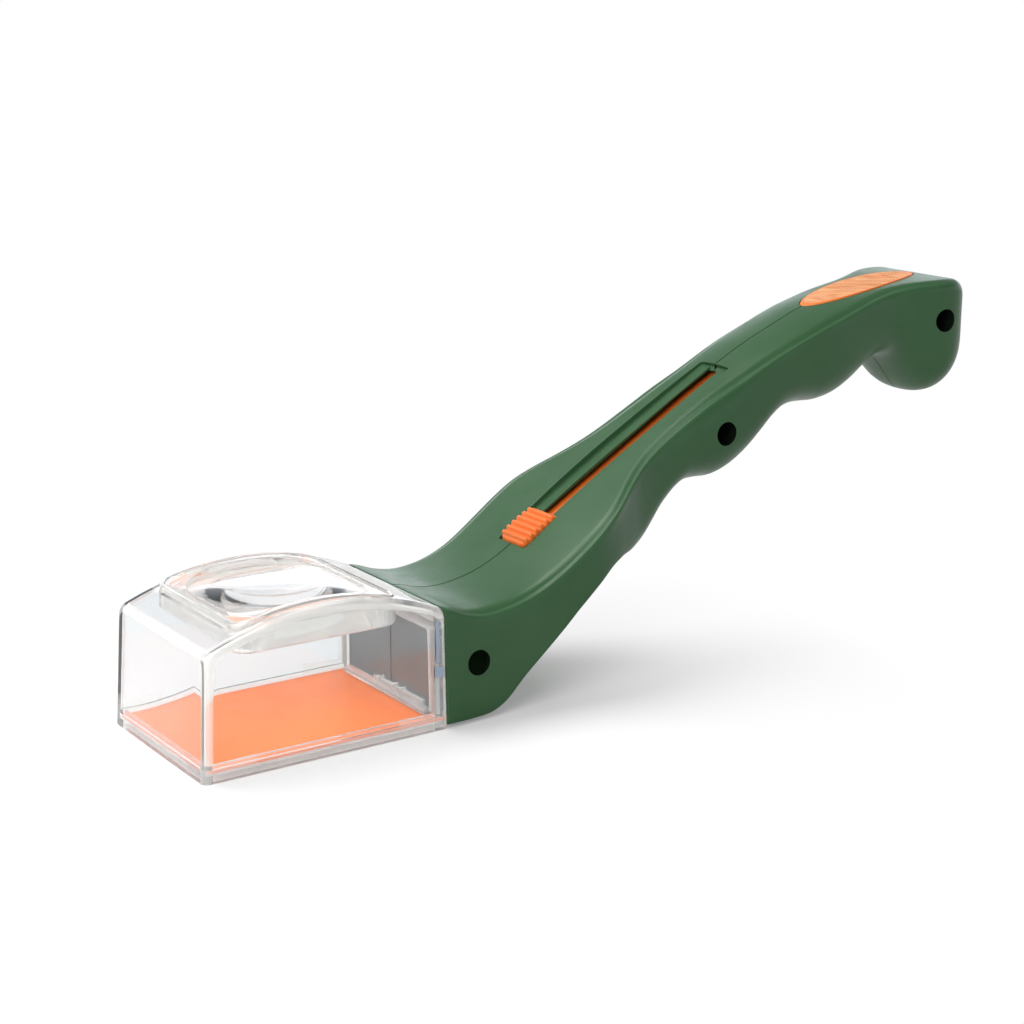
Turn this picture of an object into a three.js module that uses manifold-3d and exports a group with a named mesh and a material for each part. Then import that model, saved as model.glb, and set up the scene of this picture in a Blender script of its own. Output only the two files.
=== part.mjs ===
// Hand-held bug catcher: a clear catch chamber with a magnifier in its roof, on the front of a
// two-shell handle. A thumb button on the handle draws the chamber's floor, a flexible trap door.
// Millimetres, +Z up, +X from the chamber towards the butt. The origin is the centre of the
// footprint, on the surface that the chamber's rim stands on.
import * as THREE from 'three';
import { mergeVertices } from 'three/addons/utils/BufferGeometryUtils.js';
import Module from 'manifold-3d';

const wasm = await Module();
wasm.setup();

// Clearances, the reach of a cut past its face, and the bite of two joined forms
const GAP = 0.3;
const SEAM = 0.3;
const PAST = 5;
const BITE = 0.1;

// Catch chamber
const CHAMBER_LENGTH = 77.5;
const CHAMBER_WIDTH = 60;
const WALL_HEIGHT = 36.2;
const ROOF_RISE = 8.2;
const CHAMBER_WALL = 2.2;
const FRONT_LEAN = 2.2;
const SIDE_LEAN = 1;
const FRONT_CORNER_RADIUS = 2.4;
const ROOF_FRONT_RADIUS = 1.2;
const SHOULDER_RADIUS = 3;
const SHOULDER_LEAST = 1;
const CHAMBER_FOOT_ROUND = 0.5;
const CHAMBER_FULLNESS = 12;

// Chamber rim, rails and end flange
const RAIL_TOP = 4.7;
const RAIL_WIDTH = 3.8;
const FLANGE_THICKNESS = 3;
const COLLAR_LENGTH = 5;
const COLLAR_SIDE_INSET = 3.3;
const COLLAR_TOP_INSET = 4.4;
const COLLAR_WALL = 1.6;
const COLLAR_BOTTOM = 5;
const STOP_LIP = 0.9;
const STOP_LIP_LENGTH = 0.8;
const PEG_LENGTH = 2.4;
const PEG_HEIGHT = 6;
const PEG_BOTTOM = 18;
const PEG_START = 2;

// Back wall of the chamber
const BACK_WALL_THICKNESS = 1.5;
const BACK_RIM_WALL = 1.2;
const CENTRE_RIB_WIDTH = 2;
const FOOT_BAR_HEIGHT = 3.4;
const FOOT_BAR_DEPTH = 3;

// Magnifier and its bezel
const BEZEL_SIZE = 52;
const BEZEL_CENTRE = 38.75;
const BEZEL_RIM = 1.2;
const BEZEL_RISE = 0.8;
const BEZEL_CORNER = 5;
const BEZEL_LEDGE = 1;
const LENS_SKIRT_BOTTOM = 33.4;
const LENS_SKIRT_WALL = 1.6;
const LENS_EDGE_Z = 40.2;
const LENS_EDGE_THICKNESS = 2;
const LENS_TOP_CROWN = 3;
const LENS_BOTTOM_CROWN = 2.6;
const LENS_SQUARENESS = 4;
const LENS_TIP_SHARE = 0.97;

// Trap door: a flexible sheet with a tongue that runs up to the slide
const DOOR_THICKNESS = 1;
const DOOR_BOTTOM = 2.2;
const DOOR_WIDTH = 54;
const DOOR_FRONT = 2.6;
const TONGUE_WIDTH = 9;
const DOOR_GUIDE_REACH = 0.42;
const TONGUE_LEAD = 7;

// The tongue's path: distance from the chamber joint, then rise above the door
const TONGUE_PATH = [[-1, 0], [6, 0], [14, 1.2], [22, 7.5], [29, 18]];

// Handle shells
const SHELL_WALL = 2.2;
const HANDLE_LENGTH = 220;
const BUTT_ROUND_TOP = 11;
const BUTT_ROUND_BOTTOM = 16;
const BUTT_TOP_DROP = 16;
const BUTT_BOTTOM_RISE = 19;
const BUTT_BLUNTNESS = 0.985;
const BUTT_PLAN_POWER = 2.3;
const BUTT_BLUNT_CORNER = 0.9;

// Handle outline: distance from the chamber joint, then height or half-width. The lines are drawn
// for the drawn length, and behind the thumb slot they stretch to the handle's own length.
const DRAWN_LENGTH = 220;
const DRAWN_SLOT_END = 124;
const TOP_LINE = [
  [0, WALL_HEIGHT], [8, 34.2], [14.5, 33.5], [21, 34.1], [28, 35.7], [35, 38.4], [41.6, 42.1],
  [54, 50.4], [66, 58.3], [77, 65], [97, 76.4], [116, 86.8], [132, 95], [145, 100.4],
  [158, 105.3], [172, 108.6], [187, 110.8], [197, 111.9], [206, 112.3], [220, 111.6],
];
const UNDER_LINE = [
  [0, 0.8], [10, 0.8], [16, 1.4], [21, 3.8], [27, 9.4], [34, 15.4], [41, 21.6], [48, 28],
  [55, 33.6], [61, 37.4], [67, 38.8], [73, 38.6], [79, 39.4], [84, 42.2], [89, 47], [94, 51.8],
  [99, 54.6], [106, 55.2], [112, 55], [118, 56.8], [124, 60.4], [129, 64.8], [134, 69.6],
  [139, 73], [145, 74.6], [151, 74.7], [157, 74.5], [163, 75.8], [169, 78.8], [174, 82.4],
  [180, 86], [186, 87.4], [190, 85.8], [194, 81.8], [198, 77], [202, 73.2], [206, 71.9],
  [220, 71.9],
];
const BAND_LINE = [
  [0, CHAMBER_WIDTH / 2 - SIDE_LEAN], [12, 28.8], [25, 28.7], [37, 29], [47, 29.7],
  [57, 29.5], [62, 28.4], [67, 25.8], [72, 22.6], [77, 19.8], [82, 17.7], [87, 16.5],
  [93, 15.7], [102, 15.1], [112, 15.2], [122, 15.9], [137, 17], [158, 17.5], [170, 16.9],
  [180, 15.8], [186, 15.8], [191, 17.3], [196, 19.4], [201, 21.1], [208, 21.4], [220, 21.4],
];
const CROWN_LINE = [
  [0, 0], [15, 0.9], [50, 0.9], [62, 0.1], [105, 0.1], [122, 1.6], [140, 2.2], [162, 2.4],
  [175, 1], [185, 0.1], [220, 0.1],
];
const CORNER_LINE = [[0, SHOULDER_RADIUS], [50, 2], [180, 2], [205, 3], [220, 3]];
const SIDE_LINE = [
  [0, CHAMBER_WIDTH / 2], [12, 29.6], [30, 29.2], [45, 29.6], [56, 29], [63, 26.8],
  [70, 23.6], [78, 20], [87, 17.8], [97, 17.4], [112, 18], [127, 17.6], [142, 17.2],
  [160, 17.8], [174, 16.9], [184, 16.6], [192, 17.8], [200, 20.2], [207, 21.2], [220, 21.2],
];
const FRONT_FLAT_LENGTH = 50;
const GRIP_START = 90;
const HANDLE_FOOT_ROUND = 2;
const SIDE_BOW_LENGTH = 25;
const SIDE_BOW = { front: 1, grip: 4 };
const FULLNESS = { front: 9, grip: 2.4 };

// Thumb slot, measured along the slope of the handle's top
const SLOT_START = 41.7;
const SLOT_ANGLE = THREE.MathUtils.degToRad(30.8);
const SLIDE_TRAVEL = 75;
const BUTTON_START = 0.7;
const BUTTON_LENGTH = 15.2;
const BUTTON_WIDTH = 13.8;
const BUTTON_HEIGHT = 2.2;
const BUTTON_CROWN = 0.6;
const BUTTON_EDGE_HEIGHT = 0.6;
const BUTTON_END_MARGIN = 0.9;
const BUTTON_RIBS = 6;
const BUTTON_RIB_DEPTH = 0.9;
const RIB_TOP_SHARE = 0.56;
const SLOT_END_MARGIN = 2;
const RECESS_DEPTH = 2.2;
const SLOT_BED_THICKNESS = 1.1;
const SLOT_BED_WALL = 1.6;
const SLIT_WIDTH = 5;
const SLIT_END_MARGIN = 0.6;
const STEM_LENGTH = 8;
const CARRIAGE_START = 1;
const CARRIAGE_LENGTH = 18;
const CARRIAGE_WIDTH = 11.4;
const CARRIAGE_THICKNESS = 1.3;
const TRACK_WIDTH = 13.4;
const TRACK_THICKNESS = 1;
const TRACK_DROP = 1.4;
const TRACK_START = -1;
const TRACK_BED_THICKNESS = 0.8;

// Grip pad
const DRAWN_PAD_CENTRE = 182.6;
const PAD_LENGTH = 48.4;
const PAD_WIDTH = 15.4;
const PAD_THICKNESS = 1.4;
const PAD_RISE = 0.4;
const PAD_BED_WALL = 1.8;

// Screws: distance from the joint, on the drawn outline, and height of each axis
const SCREWS = {
  screw_front: [11.1, 18],
  screw_middle: [112.2, 71.1],
  screw_butt: [203.7, 98.9],
};
const SCREW_HEAD_RADIUS = 3.1;
const SCREW_HEAD_HEIGHT = 2.2;
const SCREW_SHANK_RADIUS = 1.5;
const SCREW_LENGTH = 14;
const SCREW_RECESS_RADIUS = 3.6;
const SCREW_SEAT_Y = -6;
const BOSS_RADIUS = 5;

// Fineness of the curved surfaces
const HANDLE_STEP = 5.2;
const BUTT_STATIONS = 7;
const CHAMBER_STATIONS = 12;
const FRONT_STATIONS = 3;
const ROOF_STATIONS = 24;
const BAND_POINTS = 3;
const CORNER_POINTS = 3;
const SIDE_POINTS = 4;
const BELLY_POINTS = 6;
const DOME_RINGS = 6;
const CORNER_STEPS = 6;
const TONGUE_STEPS = 26;
const OVAL_STEPS = 30;
const ROUND_SIDES = 24;
const SHANK_SIDES = 16;

const GREEN = { color: '#3b5a3c', roughness: 0.42, metalness: 0 };
const ORANGE = { color: '#e8763a', roughness: 0.38, metalness: 0 };
const CLEAR = { color: '#f2f4f4', roughness: 0.05, metalness: 0, transparent: true, opacity: 0.3 };
const SMOKY = { color: '#9aa1a1', roughness: 0.08, metalness: 0, transparent: true, opacity: 0.5 };
const STEEL = { color: '#5a5a5a', roughness: 0.35, metalness: 1 };

const JOINT_X = CHAMBER_LENGTH + GAP;
const TOTAL_LENGTH = JOINT_X + HANDLE_LENGTH;
const FAR = 400;

// Distance from the joint of a place on the drawn outline
function alongHandle(x) {
  const share = (HANDLE_LENGTH - DRAWN_SLOT_END) / (DRAWN_LENGTH - DRAWN_SLOT_END);
  return x <= DRAWN_SLOT_END ? x : DRAWN_SLOT_END + (x - DRAWN_SLOT_END) * share;
}

const PAD_CENTRE = alongHandle(DRAWN_PAD_CENTRE);
const SCREW_AXES = Object.entries(SCREWS).map(([name, [x, z]]) => [name, alongHandle(x), z]);

// Closed geometry to manifold solid and back
function solid(geometry) {
  const bare = geometry.clone();
  bare.deleteAttribute('normal');
  bare.deleteAttribute('uv');
  const merged = mergeVertices(bare, 1e-5);
  return new wasm.Manifold(new wasm.Mesh({
    numProp: 3,
    vertProperties: new Float32Array(merged.attributes.position.array),
    triVerts: new Uint32Array(merged.index.array),
  }));
}

function meshOf(name, body, look) {
  const { vertProperties, triVerts, numProp } = body.getMesh();
  const geometry = new THREE.BufferGeometry();
  const positions = new Float32Array((vertProperties.length / numProp) * 3);
  for (let i = 0; i < positions.length / 3; i += 1) {
    positions.set(vertProperties.subarray(i * numProp, i * numProp + 3), i * 3);
  }
  geometry.setAttribute('position', new THREE.BufferAttribute(positions, 3));
  geometry.setIndex(new THREE.BufferAttribute(new Uint32Array(triVerts), 1));
  geometry.computeVertexNormals();
  const mesh = new THREE.Mesh(geometry, new THREE.MeshStandardMaterial(look));
  mesh.name = name;
  return mesh;
}

// Box between two corners
function box(low, high) {
  const size = high.map((value, axis) => value - low[axis]);
  const geometry = new THREE.BoxGeometry(...size);
  geometry.translate(...high.map((value, axis) => (value + low[axis]) / 2));
  return solid(geometry);
}

// Cylinder along Y between two values of y
function rod(radius, x, z, y0, y1, sides = ROUND_SIDES) {
  const geometry = new THREE.CylinderGeometry(radius, radius, y1 - y0, sides);
  geometry.translate(x, (y0 + y1) / 2, z);
  return solid(geometry);
}

// Side profile in the XZ plane, extruded across the width
function acrossY(points, halfWidth) {
  const shape = new THREE.Shape(points.map(([x, z]) => new THREE.Vector2(x, -z)));
  const geometry = new THREE.ExtrudeGeometry(shape, { depth: 2 * halfWidth, bevelEnabled: false });
  geometry.translate(0, 0, -halfWidth);
  geometry.rotateX(-Math.PI / 2);
  return solid(geometry);
}

// Skin over a row of closed rings with equal point counts, capped at both ends. The rings run
// clockwise as seen from the last one's side.
function loft(rings) {
  const count = rings[0].length;
  const positions = rings.flat(2);
  const index = [];
  for (let r = 0; r + 1 < rings.length; r += 1) {
    for (let i = 0; i < count; i += 1) {
      const a = r * count + i;
      const b = r * count + ((i + 1) % count);
      index.push(a, a + count, b, b, a + count, b + count);
    }
  }
  const last = (rings.length - 1) * count;
  for (let i = 1; i + 1 < count; i += 1) {
    index.push(0, i, i + 1, last, last + i + 1, last + i);
  }
  const geometry = new THREE.BufferGeometry();
  geometry.setAttribute('position', new THREE.Float32BufferAttribute(positions, 3));
  geometry.setIndex(index);
  return solid(geometry);
}

// Smooth curve through hand-set points, read at any distance
function curve(points) {
  const xs = points.map(([x]) => alongHandle(x));
  const values = points.map(([, value]) => value);
  const line = new THREE.CubicInterpolant(xs, values, 1);
  const first = xs[0];
  const last = xs[xs.length - 1];
  return (x) => line.evaluate(THREE.MathUtils.clamp(x, first, last))[0];
}

function ease(x, from, to) {
  return THREE.MathUtils.smoothstep(x, from, to);
}

// Closed outline across the object: [y, z] pairs, from the top centre down the +Y side
function outline(form) {
  const { top, bottom, band, side, middle, corner, crown, bow, fullness } = form;
  const crease = top - crown;
  const half = [];
  for (let i = 0; i < BAND_POINTS; i += 1) {
    const y = ((band - corner) * i) / (BAND_POINTS - 1);
    half.push([y, top - crown * (y / band) ** 2]);
  }
  const sideY = (z) => {
    const v = Math.max((z - middle) / (crease - middle), 0);
    return band + (side - band) * (1 - v ** bow);
  };
  const [startY, startZ] = half[half.length - 1];
  const endZ = crease - corner;
  const endY = sideY(endZ);
  for (let i = 1; i <= CORNER_POINTS; i += 1) {
    const t = i / (CORNER_POINTS + 1);
    const s = 1 - t;
    half.push([
      s * s * startY + 2 * s * t * band + t * t * endY,
      s * s * startZ + 2 * s * t * crease + t * t * endZ,
    ]);
  }
  for (let i = 0; i < SIDE_POINTS; i += 1) {
    const z = endZ + ((middle - endZ) * i) / (SIDE_POINTS - 1);
    half.push([sideY(z), z]);
  }
  for (let i = 1; i <= BELLY_POINTS; i += 1) {
    const angle = (Math.PI / 2) * (i / BELLY_POINTS);
    const y = side * Math.max(Math.cos(angle), 0) ** (2 / fullness);
    const z = middle - (middle - bottom) * Math.sin(angle) ** (2 / fullness);
    half.push([i === BELLY_POINTS ? 0 : y, z]);
  }
  const mirrored = half.slice(1, -1).reverse().map(([y, z]) => [-y, z]);
  return [...half, ...mirrored];
}

// Height of the chamber's arched roof at a distance from its front
function roofHeight(x) {
  const middle = CHAMBER_LENGTH / 2;
  const share = (x - middle) / middle;
  return WALL_HEIGHT + ROOF_RISE * (1 - share * share);
}

function roundedLoss(x, radius) {
  const left = Math.max(radius - x, 0);
  return radius - Math.sqrt(radius * radius - left * left);
}

// Half-width of the chamber at a height: its side walls lean inwards
function chamberHalf(z) {
  return CHAMBER_WIDTH / 2 - SIDE_LEAN * (z / WALL_HEIGHT);
}

// One ring of the chamber; the front rings lean back with the front wall
function chamberRing(u, sideInset, topInset, bottom) {
  const inset = sideInset + roundedLoss(u - sideInset, FRONT_CORNER_RADIUS);
  const clampedU = Math.min(u, CHAMBER_LENGTH);
  const top = roofHeight(clampedU) - topInset - roundedLoss(u - sideInset, ROOF_FRONT_RADIUS);
  const middle = bottom + CHAMBER_FOOT_ROUND;
  const form = {
    top,
    bottom,
    band: chamberHalf(top) - inset,
    side: chamberHalf(middle) - inset,
    middle,
    corner: Math.max(SHOULDER_RADIUS - topInset, SHOULDER_LEAST),
    crown: 0,
    bow: 1,
    fullness: CHAMBER_FULLNESS,
  };
  const lean = FRONT_LEAN * (1 - clampedU / CHAMBER_LENGTH);
  return outline(form).map(([y, z]) => [u + lean * (z / WALL_HEIGHT), y, z]);
}

function chamberLoft(from, to, sideInset, topInset, bottom) {
  const stations = [];
  for (let i = 0; i < FRONT_STATIONS; i += 1) {
    const angle = (Math.PI / 2) * (i / FRONT_STATIONS);
    stations.push(from + FRONT_CORNER_RADIUS * (1 - Math.cos(angle)));
  }
  const start = from + FRONT_CORNER_RADIUS;
  for (let i = 0; i <= CHAMBER_STATIONS; i += 1) {
    stations.push(start + ((to - start) * i) / CHAMBER_STATIONS);
  }
  return loft(stations.map((u) => chamberRing(u, sideInset, topInset, bottom)));
}

// Straight length of the chamber's rear section, inset from its outside
function endSection(from, to, sideInset, topInset, bottom) {
  const ring = (x) => chamberRing(CHAMBER_LENGTH, sideInset, topInset, bottom)
    .map(([, y, z]) => [x, y, z]);
  return loft([ring(from), ring(to)]);
}

// Upright square prism with rounded corners, round the magnifier's centre
function squarePrism(size, radius, low = 0, high = FAR) {
  const half = size / 2;
  const shape = new THREE.Shape();
  shape.moveTo(half - radius, -half);
  shape.absarc(half - radius, radius - half, radius, -Math.PI / 2, 0);
  shape.absarc(half - radius, half - radius, radius, 0, Math.PI / 2);
  shape.absarc(radius - half, half - radius, radius, Math.PI / 2, Math.PI);
  shape.absarc(radius - half, radius - half, radius, Math.PI, 1.5 * Math.PI);
  const options = { depth: high - low, bevelEnabled: false, curveSegments: CORNER_STEPS };
  const geometry = new THREE.ExtrudeGeometry(shape, options);
  geometry.translate(BEZEL_CENTRE, 0, low);
  return solid(geometry);
}

// All that lies below the roof's arc, raised by an offset
function underRoof(offset) {
  const points = [[0, -FAR], [CHAMBER_LENGTH, -FAR]];
  for (let i = 0; i <= ROOF_STATIONS; i += 1) {
    const x = CHAMBER_LENGTH * (1 - i / ROOF_STATIONS);
    points.push([x, roofHeight(x) + offset]);
  }
  return acrossY(points, CHAMBER_WIDTH);
}

function bezelRing() {
  const walls = squarePrism(BEZEL_SIZE, BEZEL_CORNER)
    .subtract(squarePrism(BEZEL_SIZE - 2 * BEZEL_RIM, BEZEL_CORNER - BEZEL_RIM));
  return walls.intersect(underRoof(BEZEL_RISE)).subtract(underRoof(-CHAMBER_WALL / 2));
}

function doorGroove() {
  const half = DOOR_WIDTH / 2 + GAP;
  return box(
    [DOOR_FRONT - GAP, -half, DOOR_BOTTOM - GAP],
    [FAR, half, DOOR_BOTTOM + DOOR_THICKNESS + GAP],
  );
}

function chamber() {
  const collarEnd = JOINT_X + COLLAR_LENGTH;
  const collarStart = CHAMBER_LENGTH - FLANGE_THICKNESS / 2;
  const collar = endSection(collarStart, collarEnd, COLLAR_SIDE_INSET, COLLAR_TOP_INSET, -PAST)
    .intersect(box([0, -FAR, COLLAR_BOTTOM], [FAR, FAR, FAR]));
  const outer = chamberLoft(0, CHAMBER_LENGTH, 0, 0, -CHAMBER_FOOT_ROUND / 2)
    .intersect(box([-FAR, -FAR, 0], [FAR, FAR, FAR]))
    .add(collar)
    .add(bezelRing());
  const railHalf = CHAMBER_WIDTH / 2 - RAIL_WIDTH;
  const rails = box([-FAR, -FAR, -FAR], [FAR, FAR, RAIL_TOP])
    .subtract(box([RAIL_WIDTH, -railHalf, -FAR], [FAR, railHalf, FAR]));
  const side = COLLAR_SIDE_INSET + COLLAR_WALL;
  const top = COLLAR_TOP_INSET + COLLAR_WALL;
  const flangeStart = CHAMBER_LENGTH - FLANGE_THICKNESS;
  const flange = box([flangeStart, -FAR, -FAR], [FAR, FAR, FAR])
    .subtract(endSection(0, FAR, side, top, -PAST));
  const lip = box([flangeStart, -FAR, RAIL_TOP], [flangeStart + STOP_LIP_LENGTH, FAR, FAR])
    .subtract(endSection(0, FAR, side + STOP_LIP, top + STOP_LIP, -PAST));
  const cavity = chamberLoft(CHAMBER_WALL, collarEnd + PAST, CHAMBER_WALL, CHAMBER_WALL, -PAST)
    .subtract(rails)
    .subtract(flange)
    .subtract(lip);
  const window = box(
    [JOINT_X + PEG_START - GAP, -FAR, PEG_BOTTOM - GAP],
    [JOINT_X + PEG_START + PEG_LENGTH + GAP, FAR, PEG_BOTTOM + PEG_HEIGHT + GAP],
  );
  const roofHole = squarePrism(
    BEZEL_SIZE - 2 * BEZEL_RIM - 2 * BEZEL_LEDGE,
    BEZEL_CORNER - BEZEL_RIM - BEZEL_LEDGE / 2,
  );
  return outer.subtract(cavity).subtract(window).subtract(roofHole).subtract(doorGroove());
}

// Crowned square: rings from the edge to the middle, up or down from a level
function dome(size, level, crown) {
  const rings = [];
  const steps = 4 * CORNER_STEPS;
  for (let r = 0; r <= DOME_RINGS; r += 1) {
    const reach = (size / 2) * Math.cos((Math.PI / 2) * (r / DOME_RINGS) * LENS_TIP_SHARE);
    const height = level + crown * (1 - (2 * reach / size) ** 2);
    const ring = [];
    for (let i = 0; i < steps; i += 1) {
      const angle = (2 * Math.PI * i) / steps;
      const c = Math.cos(angle);
      const s = Math.sin(angle);
      const sum = Math.abs(c) ** LENS_SQUARENESS + Math.abs(s) ** LENS_SQUARENESS;
      const square = sum ** (-1 / LENS_SQUARENESS);
      ring.push([BEZEL_CENTRE + reach * square * c, reach * square * s, height]);
    }
    rings.push(crown < 0 ? ring.reverse() : ring);
  }
  const root = level - Math.sign(crown) * (LENS_EDGE_THICKNESS / 2);
  rings.unshift(rings[0].map(([x, y]) => [x, y, root]));
  return loft(rings.map((ring) => ring.slice().reverse()));
}

function magnifier() {
  const pocket = BEZEL_SIZE - 2 * BEZEL_RIM;
  const flangeSize = pocket - 2 * GAP;
  const tubeSize = pocket - 2 * BEZEL_LEDGE - 2 * GAP;
  const glassSize = tubeSize - 2 * LENS_SKIRT_WALL;
  const corner = BEZEL_CORNER - BEZEL_RIM;
  const flange = squarePrism(flangeSize, corner)
    .intersect(underRoof(BEZEL_RISE - GAP))
    .subtract(underRoof(GAP));
  const tube = squarePrism(tubeSize, corner - BEZEL_LEDGE / 2, LENS_SKIRT_BOTTOM)
    .intersect(underRoof(BEZEL_RISE / 2));
  const hollow = squarePrism(glassSize, corner - BEZEL_LEDGE / 2, LENS_SKIRT_BOTTOM - PAST);
  const frame = flange.add(tube).subtract(hollow);
  const plate = squarePrism(
    glassSize + LENS_SKIRT_WALL,
    corner,
    LENS_EDGE_Z - LENS_EDGE_THICKNESS / 2,
    LENS_EDGE_Z + LENS_EDGE_THICKNESS / 2,
  );
  const edge = LENS_EDGE_THICKNESS / 2;
  return frame
    .add(plate)
    .add(dome(glassSize, LENS_EDGE_Z + edge, LENS_TOP_CROWN))
    .add(dome(glassSize, LENS_EDGE_Z - edge, -LENS_BOTTOM_CROWN));
}

function backWall() {
  const side = COLLAR_SIDE_INSET + COLLAR_WALL + GAP;
  const top = COLLAR_TOP_INSET + COLLAR_WALL + GAP;
  const front = CHAMBER_LENGTH - FLANGE_THICKNESS + STOP_LIP_LENGTH + GAP;
  const back = front + BACK_WALL_THICKNESS;
  const rimEnd = JOINT_X + PEG_START - GAP;
  const bottom = DOOR_BOTTOM + DOOR_THICKNESS + GAP;
  const plate = endSection(front, back, side, top, bottom);
  const rimBottom = COLLAR_BOTTOM + GAP;
  const inner = [side + BACK_RIM_WALL, top + BACK_RIM_WALL, rimBottom + BACK_RIM_WALL];
  const rim = endSection(back - BITE, rimEnd, side, top, rimBottom)
    .subtract(endSection(0, FAR, ...inner));
  const ribHalf = CENTRE_RIB_WIDTH / 2;
  const rib = box(
    [back - BITE, -ribHalf, rimBottom + BACK_RIM_WALL / 2],
    [rimEnd, ribHalf, WALL_HEIGHT - top - BACK_RIM_WALL / 2],
  );
  const barHalf = CHAMBER_WIDTH / 2 - side - STOP_LIP - 2 * GAP;
  const footBar = box(
    [front - FOOT_BAR_DEPTH, -barHalf, bottom],
    [front + BITE, barHalf, bottom + FOOT_BAR_HEIGHT],
  );
  return plate.add(rim).add(rib).add(footBar);
}

// Handle outline as functions of the distance from the joint
const topAt = curve(TOP_LINE);
const underAt = curve(UNDER_LINE);
const crownAt = curve(CROWN_LINE);
const cornerAt = curve(CORNER_LINE);
const bandAt = curve(BAND_LINE);
const sideAt = curve(SIDE_LINE);

function endShare(x, roundLength) {
  const share = Math.max(x - (HANDLE_LENGTH - roundLength), 0) / roundLength;
  return 1 - Math.sqrt(1 - (share * BUTT_BLUNTNESS) ** 2);
}

function handleRing(x, inset) {
  const plan = Math.max(x - (HANDLE_LENGTH - BUTT_ROUND_BOTTOM), 0) / BUTT_ROUND_BOTTOM;
  const width = (1 - (plan * BUTT_BLUNTNESS) ** BUTT_PLAN_POWER) ** (1 / BUTT_PLAN_POWER);
  const top = topAt(x) - BUTT_TOP_DROP * endShare(x, BUTT_ROUND_TOP) - inset;
  const bottom = underAt(x) + BUTT_BOTTOM_RISE * endShare(x, BUTT_ROUND_BOTTOM) + inset;
  const toGrip = ease(x, FRONT_FLAT_LENGTH, GRIP_START);
  const form = {
    top,
    bottom,
    band: bandAt(x) * width - inset,
    side: sideAt(x) * width - inset,
    middle: THREE.MathUtils.lerp(bottom + HANDLE_FOOT_ROUND, (top + bottom) / 2, toGrip),
    corner: cornerAt(x) * Math.max(width, BUTT_BLUNT_CORNER) - inset / 2,
    crown: crownAt(x),
    bow: THREE.MathUtils.lerp(SIDE_BOW.front, SIDE_BOW.grip, ease(x, 0, SIDE_BOW_LENGTH)),
    fullness: THREE.MathUtils.lerp(FULLNESS.front, FULLNESS.grip, toGrip),
  };
  return outline(form).map(([y, z]) => [x, y, z]);
}

function handleLoft(from, to, inset) {
  const stations = [];
  const roundStart = HANDLE_LENGTH - BUTT_ROUND_BOTTOM;
  const count = Math.ceil((roundStart - from) / HANDLE_STEP);
  for (let i = 0; i <= count; i += 1) {
    stations.push(from + ((roundStart - from) * i) / count);
  }
  for (let i = 1; i <= BUTT_STATIONS; i += 1) {
    stations.push(roundStart + (to - roundStart) * Math.sin((Math.PI / 2) * (i / BUTT_STATIONS)));
  }
  return loft(stations.map((x) => handleRing(x, inset)));
}

// Places on the slope: s along the slot, n square to it, from the slot's front on the top line
const slotOrigin = [SLOT_START, topAt(SLOT_START)];

function onSlope([s, n]) {
  return [
    slotOrigin[0] + s * Math.cos(SLOT_ANGLE) - n * Math.sin(SLOT_ANGLE),
    slotOrigin[1] + s * Math.sin(SLOT_ANGLE) + n * Math.cos(SLOT_ANGLE),
  ];
}

function slopeBox(s0, s1, halfWidth, n0, n1) {
  const corners = [[s0, n0], [s1, n0], [s1, n1], [s0, n1]];
  return acrossY(corners.map(onSlope), halfWidth);
}

const BED_TOP = -RECESS_DEPTH;
const BED_BOTTOM = BED_TOP - SLOT_BED_THICKNESS;
const CARRIAGE_TOP = BED_BOTTOM - GAP;
const CARRIAGE_BOTTOM = CARRIAGE_TOP - CARRIAGE_THICKNESS;
const TRACK_TOP = CARRIAGE_BOTTOM - GAP;
const SLOT_LENGTH = BUTTON_START + BUTTON_LENGTH + SLIDE_TRAVEL + SLOT_END_MARGIN;
const STEM_START = BUTTON_START + (BUTTON_LENGTH - STEM_LENGTH) / 2;
const CHANNEL_END = CARRIAGE_START + CARRIAGE_LENGTH + SLIDE_TRAVEL + 2 * GAP;

function trackSection(grow) {
  const start = TRACK_START - grow;
  const end = CHANNEL_END + grow;
  const points = [
    [start, TRACK_TOP + grow],
    [end, TRACK_TOP - TRACK_DROP + grow],
    [end, TRACK_TOP - TRACK_DROP - TRACK_THICKNESS - grow],
    [start, TRACK_TOP - TRACK_THICKNESS - grow],
  ];
  return acrossY(points.map(onSlope), TRACK_WIDTH / 2 + grow);
}

// Middle line of the door's tongue: from the chamber joint up to the carriage
function tongueLine() {
  const middle = DOOR_BOTTOM + DOOR_THICKNESS / 2;
  const level = (CARRIAGE_TOP + CARRIAGE_BOTTOM) / 2;
  const path = TONGUE_PATH.map(([x, rise]) => [x, middle + rise]);
  path.push(onSlope([CARRIAGE_START - TONGUE_LEAD, level]));
  path.push(onSlope([CARRIAGE_START - GAP, level]));
  return new THREE.CatmullRomCurve3(path.map(([x, z]) => new THREE.Vector3(x, 0, z)));
}

// Sheet along a share of that line, with a thickness and a half-width
function tongueSheet(share, thickness, halfWidth) {
  const line = tongueLine();
  const steps = Math.ceil(TONGUE_STEPS * share);
  const upper = [];
  const lower = [];
  for (let i = 0; i <= steps; i += 1) {
    const at = (share * i) / steps;
    const point = line.getPointAt(at);
    const along = line.getTangentAt(at);
    const side = [-along.z * (thickness / 2), along.x * (thickness / 2)];
    upper.push([point.x + side[0], point.z + side[1]]);
    lower.push([point.x - side[0], point.z - side[1]]);
  }
  return acrossY([...lower, ...upper.reverse()], halfWidth);
}

function trapDoor() {
  const half = DOOR_WIDTH / 2;
  const panel = box(
    [DOOR_FRONT - JOINT_X, -half, DOOR_BOTTOM],
    [-GAP, half, DOOR_BOTTOM + DOOR_THICKNESS],
  );
  return panel.add(tongueSheet(1, DOOR_THICKNESS, TONGUE_WIDTH / 2));
}

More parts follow.
